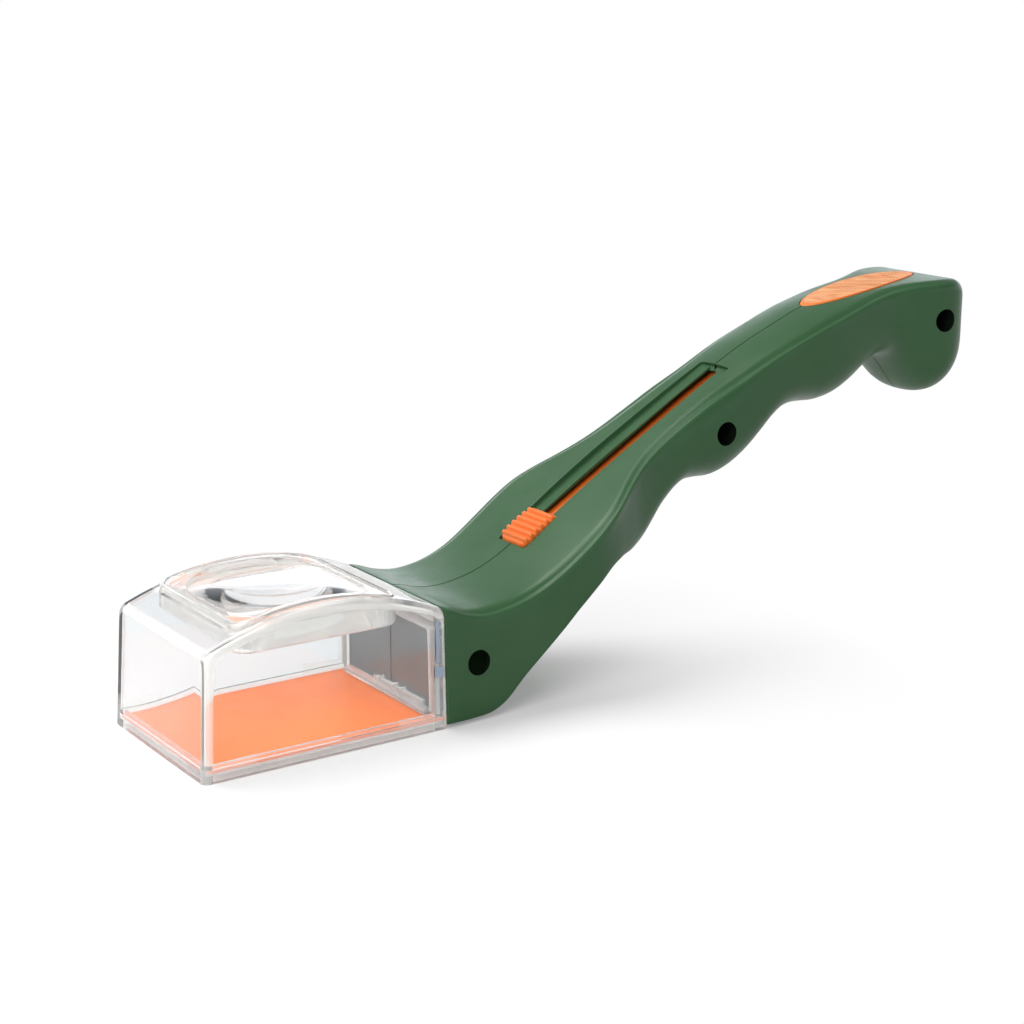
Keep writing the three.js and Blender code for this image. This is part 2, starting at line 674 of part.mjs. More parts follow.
// Oval prism round the grip pad, seen from above
function padOval(grow) {
  const shape = new THREE.Shape();
  shape.absellipse(0, 0, PAD_LENGTH / 2 + grow, PAD_WIDTH / 2 + grow, 0, 2 * Math.PI);
  const options = { depth: FAR, bevelEnabled: false, curveSegments: OVAL_STEPS };
  const geometry = new THREE.ExtrudeGeometry(shape, options);
  geometry.translate(PAD_CENTRE, 0, (topAt(PAD_CENTRE) + underAt(PAD_CENTRE)) / 2);
  return solid(geometry);
}

const handleOuter = handleLoft(0, HANDLE_LENGTH, 0);

function insideHandle(depth) {
  return handleLoft(-PAST, HANDLE_LENGTH - depth, depth);
}

// The hollow of the handle, less the beds, bosses and pegs that stand in it
function handleHollow() {
  const bedHalf = TRACK_WIDTH / 2 + GAP + SLOT_BED_WALL;
  const bedEnd = CHANNEL_END + GAP + SLOT_BED_WALL;
  const bedFloor = TRACK_TOP - TRACK_DROP - TRACK_THICKNESS - GAP - TRACK_BED_THICKNESS;
  const padBed = padOval(GAP + PAD_BED_WALL)
    .subtract(insideHandle(PAD_THICKNESS + GAP + PAD_BED_WALL));
  let hollow = insideHandle(SHELL_WALL)
    .subtract(slopeBox(-GAP - SLOT_BED_WALL, bedEnd, bedHalf, bedFloor, PAST))
    .subtract(padBed);
  for (const [, x, z] of SCREW_AXES) {
    hollow = hollow.subtract(rod(BOSS_RADIUS, x, z, -FAR, FAR));
  }
  for (const sign of [-1, 1]) {
    const inner = CHAMBER_WIDTH / 2 - COLLAR_SIDE_INSET - COLLAR_WALL;
    const ends = [sign * inner, sign * CHAMBER_WIDTH];
    hollow = hollow.subtract(box(
      [PEG_START, Math.min(...ends), PEG_BOTTOM],
      [PEG_START + PEG_LENGTH, Math.max(...ends), PEG_BOTTOM + PEG_HEIGHT],
    ));
  }
  return hollow;
}

function shells() {
  let body = handleOuter.subtract(handleHollow());
  const recessHalf = BUTTON_WIDTH / 2 + GAP;
  body = body
    .subtract(slopeBox(0, SLOT_LENGTH, recessHalf, BED_TOP, PAST))
    .subtract(slopeBox(STEM_START - GAP, SLOT_LENGTH - SLIT_END_MARGIN, SLIT_WIDTH / 2, CARRIAGE_TOP,
      PAST))
    .subtract(slopeBox(-PAST, CHANNEL_END, CARRIAGE_WIDTH / 2 + GAP, TRACK_TOP - TRACK_DROP,
      BED_BOTTOM))
    .subtract(trackSection(GAP))
    .subtract(tongueSheet(DOOR_GUIDE_REACH, DOOR_THICKNESS + 2 * GAP, DOOR_WIDTH / 2 + GAP))
    .subtract(tongueSheet(1, DOOR_THICKNESS + 2 * GAP, TONGUE_WIDTH / 2 + GAP));
  for (const [, x, z] of SCREW_AXES) {
    body = body
      .subtract(rod(SCREW_RECESS_RADIUS, x, z, -FAR, SCREW_SEAT_Y))
      .subtract(rod(SCREW_SHANK_RADIUS + GAP, x, z, SCREW_SEAT_Y - BITE,
        SCREW_SEAT_Y + SCREW_LENGTH + GAP));
  }
  body = body.subtract(padOval(GAP).subtract(insideHandle(PAD_THICKNESS + GAP)));
  return {
    left: body.intersect(box([-FAR, -FAR, -FAR], [FAR, -SEAM / 2, FAR])),
    right: body.intersect(box([-FAR, SEAM / 2, -FAR], [FAR, FAR, FAR])),
  };
}

function thumbButton() {
  const foot = BED_TOP + GAP;
  const end = BUTTON_START + BUTTON_LENGTH;
  const points = [[BUTTON_START, foot], [end, foot], [end, BUTTON_EDGE_HEIGHT]];
  const pitch = (BUTTON_LENGTH - 2 * BUTTON_END_MARGIN) / BUTTON_RIBS;
  const topHalf = (RIB_TOP_SHARE * pitch) / 2;
  const centre = (BUTTON_RIBS - 1) / 2;
  for (let i = BUTTON_RIBS - 1; i >= 0; i -= 1) {
    const middle = BUTTON_START + BUTTON_END_MARGIN + pitch * (i + 0.5);
    const rise = BUTTON_HEIGHT - BUTTON_CROWN * ((i - centre) / centre) ** 2;
    points.push([middle + topHalf, rise], [middle - topHalf, rise]);
    if (i > 0) {
      points.push([middle - pitch / 2, rise - BUTTON_RIB_DEPTH]);
    }
  }
  points.push([BUTTON_START, BUTTON_EDGE_HEIGHT]);
  const cap = acrossY(points.map(onSlope), BUTTON_WIDTH / 2);
  const stemHalf = SLIT_WIDTH / 2 - GAP;
  const stem = slopeBox(STEM_START, STEM_START + STEM_LENGTH, stemHalf, CARRIAGE_BOTTOM + BITE,
    foot + BITE);
  return cap.add(stem);
}

function carriage() {
  const plate = slopeBox(CARRIAGE_START, CARRIAGE_START + CARRIAGE_LENGTH, CARRIAGE_WIDTH / 2,
    CARRIAGE_BOTTOM, CARRIAGE_TOP);
  const socket = slopeBox(STEM_START - GAP, STEM_START + STEM_LENGTH + GAP, SLIT_WIDTH / 2,
    CARRIAGE_BOTTOM - BITE, CARRIAGE_TOP + BITE);
  return plate.subtract(socket);
}

function gripPad() {
  return handleLoft(0, HANDLE_LENGTH, -PAD_RISE)
    .intersect(padOval(0))
    .subtract(insideHandle(PAD_THICKNESS));
}

function screw(x, z) {
  const headEnd = SCREW_SEAT_Y - GAP;
  return rod(SCREW_HEAD_RADIUS, x, z, headEnd - SCREW_HEAD_HEIGHT, headEnd)
    .add(rod(SCREW_SHANK_RADIUS, x, z, headEnd - BITE, SCREW_SEAT_Y + SCREW_LENGTH - GAP,
      SHANK_SIDES));
}

const object = new THREE.Group();
object.position.x = -TOTAL_LENGTH / 2;

const head = new THREE.Group();
head.add(
  meshOf('chamber', chamber(), CLEAR),
  meshOf('magnifier_lens', magnifier(), CLEAR),
  meshOf('chamber_back_wall', backWall(), SMOKY),
);

const handle = new THREE.Group();
handle.position.x = JOINT_X;
const { left, right } = shells();
handle.add(
  meshOf('left_shell', left, GREEN),
  meshOf('right_shell', right, GREEN),
  meshOf('trap_door', trapDoor(), ORANGE),
  meshOf('thumb_button', thumbButton(), ORANGE),
  meshOf('slide_carriage', carriage(), ORANGE),
  meshOf('slide_track', trackSection(0), ORANGE),
  meshOf('grip_pad', gripPad(), ORANGE),
);
for (const [name, x, z] of SCREW_AXES) {
  handle.add(meshOf(name, screw(x, z), STEEL));
}

object.add(head, handle);
object.updateMatrixWorld(true);

export default object;
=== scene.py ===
# Dressed model of a hand-held bug catcher: a clear catch chamber with a magnifier roof, a green
# two-shell handle, and an orange slide that draws the chamber's flexible floor.
# Shapes are worked out in millimetres from the chamber's front, and placed in the frame in metres.
import math

import bpy
import bmesh
import numpy as np
from mathutils import Matrix, Quaternion, Vector


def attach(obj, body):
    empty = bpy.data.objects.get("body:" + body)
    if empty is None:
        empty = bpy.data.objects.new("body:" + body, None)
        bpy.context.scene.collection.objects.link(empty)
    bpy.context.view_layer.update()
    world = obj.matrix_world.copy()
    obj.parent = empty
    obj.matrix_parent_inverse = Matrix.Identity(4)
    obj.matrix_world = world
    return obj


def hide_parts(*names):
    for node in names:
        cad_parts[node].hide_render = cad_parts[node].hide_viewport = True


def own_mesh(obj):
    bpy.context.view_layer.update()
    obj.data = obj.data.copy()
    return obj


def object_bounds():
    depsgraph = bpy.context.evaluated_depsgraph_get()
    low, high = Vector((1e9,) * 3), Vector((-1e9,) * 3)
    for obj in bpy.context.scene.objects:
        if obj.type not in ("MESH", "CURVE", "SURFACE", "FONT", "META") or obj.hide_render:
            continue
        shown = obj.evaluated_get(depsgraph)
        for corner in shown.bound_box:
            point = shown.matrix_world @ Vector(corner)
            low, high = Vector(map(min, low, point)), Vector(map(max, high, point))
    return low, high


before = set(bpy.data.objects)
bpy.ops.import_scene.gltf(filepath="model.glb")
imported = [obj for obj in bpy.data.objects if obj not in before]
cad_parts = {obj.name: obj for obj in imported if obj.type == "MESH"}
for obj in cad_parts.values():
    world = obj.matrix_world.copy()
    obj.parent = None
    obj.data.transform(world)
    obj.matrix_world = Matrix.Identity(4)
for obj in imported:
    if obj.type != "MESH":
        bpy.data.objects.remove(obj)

CAD_BOX = [list(corner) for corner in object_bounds()]
MM = 0.001
FRONT_X = CAD_BOX[0][0]

# Camera, as fitted to the photograph
CAMERA_AT = (-0.36813, -0.50339, 0.21338)
CAMERA_AZIMUTH = math.radians(-34.0)
CAMERA_ELEVATION = math.radians(14.87)
CAMERA_ROLL = math.radians(-0.07)
CAMERA_LENS = 72.13

# Handle
CHAMBER_LENGTH = 77.5
GAP = 0.3
JOINT_X = CHAMBER_LENGTH + GAP
HANDLE_LENGTH = 220
SHELL_WALL = 2.2
SEAM_HALF = 0.14
WALL_HEIGHT = 36.2
SHOULDER_RADIUS = 3
SIDE_LEAN = 1
CHAMBER_WIDTH = 60
BUTT_ROUND_TOP = 11
BUTT_ROUND_BOTTOM = 16
BUTT_TOP_DROP = 16
BUTT_BOTTOM_RISE = 19
BUTT_BLUNTNESS = 0.985
BUTT_PLAN_POWER = 2.3
BUTT_BLUNT_CORNER = 0.9
FRONT_FLAT_LENGTH = 50
GRIP_START = 90
HANDLE_FOOT_ROUND = 2
SIDE_BOW = (1, 4)
SIDE_BOW_LENGTH = 25
BELLY_FULLNESS = (9, 2.4)
JOINT_TUCK = 0.2
FLOOR_WALL_FRONT = 1.1
FLOOR_WALL_EASE = (8, 20)
FLOOR_BAND = 0.4

# Handle outline: distance from the chamber joint, then height or half-width
TOP_LINE = [
    (0, WALL_HEIGHT), (8, 34.2), (14.5, 33.5), (21, 34.1), (28, 35.7), (35, 38.4), (41.6, 42.1),
    (54, 50.4), (66, 58.3), (77, 65), (97, 76.4), (116, 86.8), (132, 95), (145, 100.4),
    (158, 105.3), (172, 108.6), (187, 110.8), (197, 111.9), (206, 112.3), (220, 111.6),
]
UNDER_LINE = [
    (0, 0.8), (10, 0.8), (16, 1.4), (21, 3.8), (27, 9.4), (34, 15.4), (41, 21.6), (48, 28),
    (55, 33.6), (61, 37.4), (67, 38.8), (73, 38.6), (79, 39.4), (84, 42.2), (89, 47), (94, 51.8),
    (99, 54.6), (106, 55.2), (112, 55), (118, 56.8), (124, 60.4), (129, 64.8), (134, 69.6),
    (139, 73), (145, 74.6), (151, 74.7), (157, 74.5), (163, 75.8), (169, 78.8), (174, 82.4),
    (180, 86), (186, 87.4), (190, 85.8), (194, 81.8), (198, 77), (202, 73.2), (206, 71.9),
    (220, 71.9),
]
BAND_LINE = [
    (0, CHAMBER_WIDTH / 2 - SIDE_LEAN), (12, 28.8), (25, 28.7), (37, 29), (47, 29.7),
    (57, 29.5), (62, 28.4), (67, 25.8), (72, 22.6), (77, 19.8), (82, 17.7), (87, 16.5),
    (93, 15.7), (102, 15.1), (112, 15.2), (122, 15.9), (137, 17), (158, 17.5), (170, 16.9),
    (180, 15.8), (186, 15.8), (191, 17.3), (196, 19.4), (201, 21.1), (208, 21.4), (220, 21.4),
]
CROWN_LINE = [
    (0, 0), (15, 0.9), (50, 0.9), (62, 0.1), (105, 0.1), (122, 1.6), (140, 2.2), (162, 2.4),
    (175, 1), (185, 0.1), (220, 0.1),
]
CORNER_LINE = [(0, SHOULDER_RADIUS), (50, 2.4), (180, 2.4), (205, 4.4), (220, 5)]
SIDE_LINE = [
    (0, CHAMBER_WIDTH / 2), (12, 29.6), (30, 29.2), (45, 29.6), (56, 29), (63, 26.8),
    (70, 23.6), (78, 20), (87, 17.8), (97, 17.4), (112, 18), (127, 17.6), (142, 17.2),
    (160, 17.8), (174, 16.9), (184, 16.6), (192, 17.8), (200, 20.2), (207, 21.2), (220, 21.2),
]

# Step along the top panel's edge: how it fades in and out, and its depth and place
STEP_LINE = [(0, 0.15), (16, 1), (180, 1), (200, 0.5), (212, 0)]
STEP_DEPTH = 1.0
STEP_WIDTH = 1.6
STEP_PLACE = -1.0

# Thumb slot, along the slope of the handle's top
SLOT_START = 41.7
SLOT_ANGLE = math.radians(30.8)
SLOT_LENGTH = 92.9
SLOT_HALF = 7.0
SLOT_DEPTH = 1.15
SLOT_BED = 0.5
SLOT_FLOOR_LIFT = 0.5
SLOT_CORNER = 0.8
SLOT_OPEN = 0.45
SLOT_FILLET = 0.45
SLIT_HALF = 2.5
SLIT_FRONT = 4
SLIT_END_MARGIN = 0.5
BUTTON_START = 0.7
BUTTON_LENGTH = 15.2
BUTTON_HALF = 6.75
BUTTON_HEIGHT = 2.15
BUTTON_RIBS = 6
CAP_FOOT = -0.55
STEM_FOOT = -2.25
CARRIAGE_TOP = -2.1
CARRIAGE_BOTTOM = -2.4
TRACK_TOP = -2.5
TRACK_BOTTOM = -4.5
TRACK_DROP = 1.6
RIB_DEPTH = 0.95
RIB_POWER = 1.6
BED_MARGIN = 2
BED_ROW_OFFSET = 1.2
BED_ROW_SHARE = 0.7
BED_REACH = 1.9
FLAT_WALL_SHARE = 0.62
BUTTON_STEPS = 150
BUTTON_ACROSS = 18
BUTTON_FRONT_CORNER = 2.4
BUTTON_REAR_CORNER = 1.0
BUTTON_LEAST_HALF = 0.6
BUTTON_END = 0.9
BUTTON_CROWN = 0.7
BUTTON_EDGE_RADIUS = 1.1
BUTTON_END_DROP = 1.1
BUTTON_FOOT_BAND = 0.3
STEM_SPAN = (4.4, 12.4)
STEM_HALF = 2.2
CARRIAGE_SPAN = (1.0, 15.4)
CARRIAGE_HALF = 5.7
TRACK_SPAN = (2.5, 94.6)
TRACK_HALF = 6.7

# Screws: distance from the joint and height
SCREWS = {"screw_front": (11.1, 18), "screw_middle": (112.2, 71.1), "screw_butt": (203.7, 98.9)}
SCREW_RECESS_RADIUS = 3.85
SCREW_SEAT_Y = 6
SCREW_SIDES = 40
SCREW_PROFILE = [
    (0.02, -8.3), (1.6, -8.25), (2.6, -7.9), (3.05, -7.2), (3.1, -6.3), (1.5, -6.3), (1.5, 6.8),
    (0.02, 7.7),
]
CROSS_LEVELS = (-9, -7.3)
CROSS_ARMS = ((1.7, 0.35), (0.35, 1.7))
BOSS_RADIUS = 5
BOSS_INSET = 1.3
PILOT_RADIUS = 1.8

# Grip pad
PAD_CENTRE = 182.6
PAD_HALF_LENGTH = 24.2
PAD_HALF_WIDTH = 8.7
PAD_THICKNESS = 1.4
PAD_RISE = 0.3
PAD_LINE_PITCH = 1.05
PAD_GAP = 0.32
PAD_RIM_FROM = 0.93
PAD_EDGE_FROM = 0.975
PAD_EDGE_DROP = 0.5
PAD_SIDES = 220
PAD_STEPS = 90
PAD_BED_SIDES = 128
PAD_BED_RISE = 4
PAD_LINE_SINK = 0.12
PAD_LINE_DEPTH = 0.11
PAD_LINE_FADE = 0.03
PAD_WOBBLE = ((0.5, 0.55, 0), (0.25, 1.3, 0.6))
OVAL_MIDDLE = 0.0001

# Chamber
ROOF_RISE = 8.2
CHAMBER_WALL = 2.2
FRONT_LEAN = 2.2
FRONT_CORNER_RADIUS = 2.5
REAR_EDGE_ROUND = 0.45
ROOF_FRONT_RADIUS = 1.2
FOOT_ROUND = 0.5
RAIL_TOP = 4.7
RAIL_WIDTH = 3.8
FLANGE = 3
COLLAR_LENGTH = 5
COLLAR_SIDE_INSET = 3.3
COLLAR_TOP_INSET = 4.4
COLLAR_WALL = 1.6
COLLAR_BOTTOM = 5
STOP_LIP = 0.9
STOP_LIP_LENGTH = 0.8
DOOR_BOTTOM = 2.2
DOOR_THICKNESS = 1
DOOR_HALF = 27
DOOR_FRONT = 2.6
DOOR_EDGE_ROUND = 0.3
TONGUE_HALF = 4.5
TONGUE_STEPS = 70
TONGUE_LEVEL = -2.5
TONGUE_PATH = [(-1, 0), (6, 0), (14, 1.2), (22, 7.5), (29, 18)]
TONGUE_ENDS = (-6, 0.7)
CAVITY_CORNER = 1.4

# Reach of the blocks that cut the chamber: sideways, to the rear, further to the rear and upwards
CUT_WIDE = 60
CUT_LONG = 200
CUT_LONGER = 300
CUT_HIGH = 100

# Back wall of the chamber, and the rear flange's pockets
WALL_THICKNESS = 1.5
WALL_RIB_HALF = 1
WALL_RIB_DEPTH = 3
RIDGE_RISE = 0.25
RIDGE_HALF = 0.75
FLANGE_POCKETS = [((74.3, 20.5), (75.5, 33.0)), ((73.7, 16.3), (76.9, 19.3))]
POCKET_FACE = 0.12
POCKET_FOOT = 0.9

# Guide bar: depth, how far each end stops short, foot and top; then its ribs: side, offset
GUIDE_BAR = [("bar_low", 3, 0, 0, 0, 1.8), ("bar_high", 1.6, 3, 16, 1.7, 3.4)]
BAR_ROUND = 0.25
BAR_GAP = 0.02
BAR_RIBS = ((-1, 14), (-1, 18.5), (1, -20))
BAR_RIB_HALF = 0.4
BAR_RIB_DEPTH = 2.4
BAR_RIB_LEVELS = (1.7, 4.2)
BAR_RIB_ROUND = 0.2

# Magnifier
LENS_CENTRE = 38.75
BEZEL_HALF = 26
BEZEL_CORNER = 5
BEZEL_RISE = 0.8
BEZEL_PROFILE = [(0, -1.5), (0, 0.25), (0.15, 0.6), (0.5, BEZEL_RISE)]
POCKET_HALF = 24.8
POCKET_CORNER = 4
ROOF_HOLE_HALF = 23.8
SOCKET_BOTTOM = 33.5
LENS_SKIRT_HALF = 23.5
LENS_SKIRT_WALL = 1.6
LENS_SKIRT_BOTTOM = 33.4
LENS_FLANGE_HALF = 24.5
LENS_DOME_CORNER = 12
LENS_ROUND = 20
LENS_EDGE_Z = 40.2
LENS_EDGE_THICKNESS = 2
LENS_TOP_CROWN = 3
LENS_BOTTOM_CROWN = 2.6
LENS_STEPS = 26
LENS_MIDDLE = 0.0005
LENS_CIRCLE = 0.9

SHARP = math.radians(38)


def add_object(name, data, at=(0, 0, 0), turn=Quaternion()):
    made = bpy.data.objects.new(name, data)
    bpy.context.scene.collection.objects.link(made)
    made.matrix_world = Matrix.Translation(at) @ turn.to_matrix().to_4x4()
    return made


def make_camera():
    data = bpy.data.cameras.new("camera")
    data.lens = CAMERA_LENS
    data.sensor_width = 36
    data.clip_start = 0.01
    flat = math.cos(CAMERA_ELEVATION)
    back = Vector((
        math.sin(CAMERA_AZIMUTH) * flat, -math.cos(CAMERA_AZIMUTH) * flat, math.sin(CAMERA_ELEVATION),
    ))
    turn = back.to_track_quat("Z", "Y") @ Quaternion((0, 0, 1), CAMERA_ROLL)
    bpy.context.scene.camera = add_object("camera", data, CAMERA_AT, turn)


# Meshes are made in millimetres from the chamber's front, and set down in metres by settle()
def new_object(name, points, faces):
    mesh = bpy.data.meshes.new(name)
    mesh.from_pydata([tuple(map(float, p)) for p in points], [], faces)
    work = bmesh.new()
    work.from_mesh(mesh)
    bmesh.ops.recalc_face_normals(work, faces=work.faces)
    work.to_mesh(mesh)
    work.free()
    mesh.update()
    return add_object(name, mesh)


def settle(piece, material, body, nodes=(), trims=()):
    """Set a piece down in metres; trims are more materials, each with a test of its faces."""
    mesh = piece.data
    mesh.transform(Matrix.Translation((FRONT_X, 0, 0)) @ Matrix.Scale(MM, 4))
    work = bmesh.new()
    work.from_mesh(mesh)
    bmesh.ops.remove_doubles(work, verts=work.verts, dist=1e-6)
    bmesh.ops.recalc_face_normals(work, faces=work.faces)
    for face in work.faces:
        face.smooth = True
    for edge in work.edges:
        edge.smooth = not edge.is_manifold or edge.calc_face_angle(0) < SHARP
    work.to_mesh(mesh)
    work.free()
    mesh.materials.clear()
    mesh.materials.append(material)
    for trim_material, _ in trims:
        mesh.materials.append(trim_material)
    for face in mesh.polygons:
        place = (Vector(face.center) - Vector((FRONT_X, 0, 0))) / MM
        worn = [i + 1 for i, (_, test) in enumerate(trims) if test(place, face.normal)]
        face.material_index = worn[0] if worn else 0
    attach(piece, body)
    if nodes:
        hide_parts(*nodes)
    return piece


def bake(piece):
    """Apply the piece's modifiers."""
    graph = bpy.context.evaluated_depsgraph_get()
    mesh = bpy.data.meshes.new_from_object(piece.evaluated_get(graph))
    old = piece.data
    piece.modifiers.clear()
    piece.data = mesh
    bpy.data.meshes.remove(old)
    return piece


def discard(piece):
    mesh = piece.data
    bpy.data.objects.remove(piece)
    bpy.data.meshes.remove(mesh)


def combine(target, tool, how):
    modifier = target.modifiers.new("combine", "BOOLEAN")
    modifier.object = tool
    modifier.operation = how
    modifier.solver = "EXACT"
    bake(target)
    discard(tool)
    return target


def cut(target, tool):
    return combine(target, tool, "DIFFERENCE")


def join(target, tool):
    return combine(target, tool, "UNION")


def joined(name, parts):
    points, faces = [], []
    for part in parts:
        start = len(points)
        points += [tuple(v.co) for v in part.data.vertices]
        faces += [[start + i for i in p.vertices] for p in part.data.polygons]
        discard(part)
    return new_object(name, points, faces)


def loft(name, rings):
    count = len(rings[0])
    points = [p for ring in rings for p in ring]
    faces = []
    for r in range(len(rings) - 1):
        for i in range(count):
            a, b = r * count + i, r * count + (i + 1) % count
            faces.append([a, b, b + count, a + count])
    faces.append(list(range(count))[::-1])
    faces.append([(len(rings) - 1) * count + i for i in range(count)])
    return new_object(name, points, faces)


BOX_FACES = [[0, 1, 3, 2], [4, 6, 7, 5], [0, 4, 5, 1], [2, 3, 7, 6], [0, 2, 6, 4], [1, 5, 7, 3]]


def block(name, low, high):
    ends = list(zip(low, high))
    return new_object(name, [(x, y, z) for x in ends[0] for y in ends[1] for z in ends[2]], BOX_FACES)


def soften(piece, width, segments=2):
    modifier = piece.modifiers.new("soften", "BEVEL")
    modifier.width = width
    modifier.segments = segments
    modifier.limit_method = "ANGLE"
    modifier.angle_limit = SHARP
    return bake(piece)


# Smooth curve through given points, read at any distance
def curve(line):
    xs = [float(x) for x, _ in line]
    ys = [float(y) for _, y in line]
    beyond_xs = [2 * xs[0] - xs[1], *xs, 2 * xs[-1] - xs[-2]]
    beyond_ys = [ys[1], *ys, ys[-2]]

    def read(x):
        x = min(max(x, xs[0]), xs[-1])
        i = min(max(int(np.searchsorted(xs, x, side="right")), 1), len(xs) - 1)
        t_before, t0, t1, t_after = beyond_xs[i - 1:i + 3]
        v_before, v0, v1, v_after = beyond_ys[i - 1:i + 3]
        half = (t1 - t0) / 2
        w0, w1 = half / (t0 - t_before), half / (t_after - t1)
        p = (x - t0) / (t1 - t0)
        p2, p3 = p * p, p ** 3
        return (
            (-w0 * p3 + 2 * w0 * p2 - w0 * p) * v_before
            + ((1 + w0) * p3 + (-1.5 - 2 * w0) * p2 + (-0.5 + w0) * p + 1) * v0
            + ((-1 - w1) * p3 + (1.5 + w1) * p2 + 0.5 * p) * v1
            + (w1 * p3 - w1 * p2) * v_after
        )

    return read


top_at, under_at, band_at = curve(TOP_LINE), curve(UNDER_LINE), curve(BAND_LINE)
crown_at, corner_at, side_at = curve(CROWN_LINE), curve(CORNER_LINE), curve(SIDE_LINE)


def step_at(x):
    return float(np.interp(x, [p for p, _ in STEP_LINE], [v for _, v in STEP_LINE]))


def ease(x, start, end):
    t = min(max((x - start) / (end - start), 0), 1)
    return t * t * (3 - 2 * t)


def mix(a, b, t):
    return a + (b - a) * t


def quarter_turn(count, first=0):
    return [math.pi / 2 * i / count for i in range(first, count + 1)]


def full_turn(count):
    return [2 * math.pi * i / count for i in range(count)]


def rounded_loss(x, radius):
    """What a rounded edge takes away at distance x from it."""
    left = max(radius - x, 0)
    return radius - math.sqrt(max(radius * radius - left * left, 0))


def end_share(x, length):
    share = max(x - (HANDLE_LENGTH - length), 0) / length
    return 1 - math.sqrt(1 - min(share * BUTT_BLUNTNESS, 1) ** 2)


def handle_form(x, inset=0.0):
    """The handle's section at distance x from the joint, drawn in by inset."""
    plan = max(x - (HANDLE_LENGTH - BUTT_ROUND_BOTTOM), 0) / BUTT_ROUND_BOTTOM
    width = (1 - min(plan * BUTT_BLUNTNESS, 1) ** BUTT_PLAN_POWER) ** (1 / BUTT_PLAN_POWER)
    top = top_at(x) - BUTT_TOP_DROP * end_share(x, BUTT_ROUND_TOP) - inset
    bottom = under_at(x) + BUTT_BOTTOM_RISE * end_share(x, BUTT_ROUND_BOTTOM) + inset
    to_grip = ease(x, FRONT_FLAT_LENGTH, GRIP_START)
    return {
        "top": top,
        "bottom": bottom,
        "band": band_at(x) * width - inset,
        "side": side_at(x) * width - inset,
        "middle": mix(bottom + HANDLE_FOOT_ROUND, (top + bottom) / 2, to_grip),
        "corner": corner_at(x) * max(width, BUTT_BLUNT_CORNER) - inset / 2,
        "crown": crown_at(x),
        "bow": mix(*SIDE_BOW, ease(x, 0, SIDE_BOW_LENGTH)),
        "fullness": mix(*BELLY_FULLNESS, to_grip),
    }


def band_height(form, y):
    return form["top"] - form["crown"] * (y / form["band"]) ** 2


def slope_point(s, n):
    """Distance from the joint and height, s along the slot's slope and n above it."""
    start = top_at(SLOT_START)
    return (
        SLOT_START + s * math.cos(SLOT_ANGLE) - n * math.sin(SLOT_ANGLE),
        start + s * math.sin(SLOT_ANGLE) + n * math.cos(SLOT_ANGLE),
    )


# Counts and places of the points round one section of the handle
BAND_INNER_POINTS = 4
BAND_OUTER_POINTS = 18
BAND_COARSE_POINTS = 4
BAND_COARSE_SHARE = 0.3
WALL_ROWS = [(0.02, 0.88), (0.1, 0.96), (0.25, 1.0), (0.4, 1.0), (0.8, 1.0)]
FILLET_POINTS = 6
STEP_REACH = 4.6
CORNER_POINTS = 15
SIDE_POINTS = 26
BELLY_POINTS = 18
EDGE_ROUND = 0.16

# Stations along the handle: before the slot, along it, behind it and round the butt
FRONT_STATIONS = (0, 0.25, 0.8)
FRONT_COUNT = 26
SLOT_FRONT_MARKS = (0.0, 0.1, 0.3, 0.6, 1.0, 2.2)
SLIT_MARGINS = (1.4, 2.2)
SLIT_COUNT = 60
SLOT_REAR_MARKS = (1.4, 0.9, SLIT_END_MARGIN + 0.02, SLIT_END_MARGIN, 0.3, 0.12, 0.04, 0.0)
REAR_COUNT = 58
BUTT_COUNT = 26
EDGE_STEP = 0.02
STATION_GAP = 0.3


def band_rows(first, wall, last, sunk):
    """Points across the top panel for one station: (y, 0 on the slot's floor to 1 on the panel)."""
    rows = [(first, 0.0), (first + EDGE_ROUND, 0.0)]
    for i in range(1, BAND_INNER_POINTS + 1):
        rows.append((mix(first + EDGE_ROUND, wall - SLOT_FILLET, i / BAND_INNER_POINTS), 0.0))
    for angle in quarter_turn(FILLET_POINTS, 1):
        share = SLOT_FILLET / SLOT_DEPTH * (1 - math.cos(angle))
        rows.append((wall - SLOT_FILLET * (1 - math.sin(angle)), share))
    rows += [(wall + offset, share) for offset, share in WALL_ROWS]
    if not sunk:
        rows = [(y, 0.0) for y, _ in rows]
    start = wall + WALL_ROWS[-1][0]
    fine = max(last - STEP_REACH, mix(start, last, BAND_COARSE_SHARE))
    fine_count = BAND_OUTER_POINTS - BAND_COARSE_POINTS
    rows += [
        (mix(start, fine, i / BAND_COARSE_POINTS), 1.0) for i in range(1, BAND_COARSE_POINTS + 1)
    ]
    rows += [(mix(fine, last, i / fine_count), 1.0) for i in range(1, fine_count + 1)]
    return rows


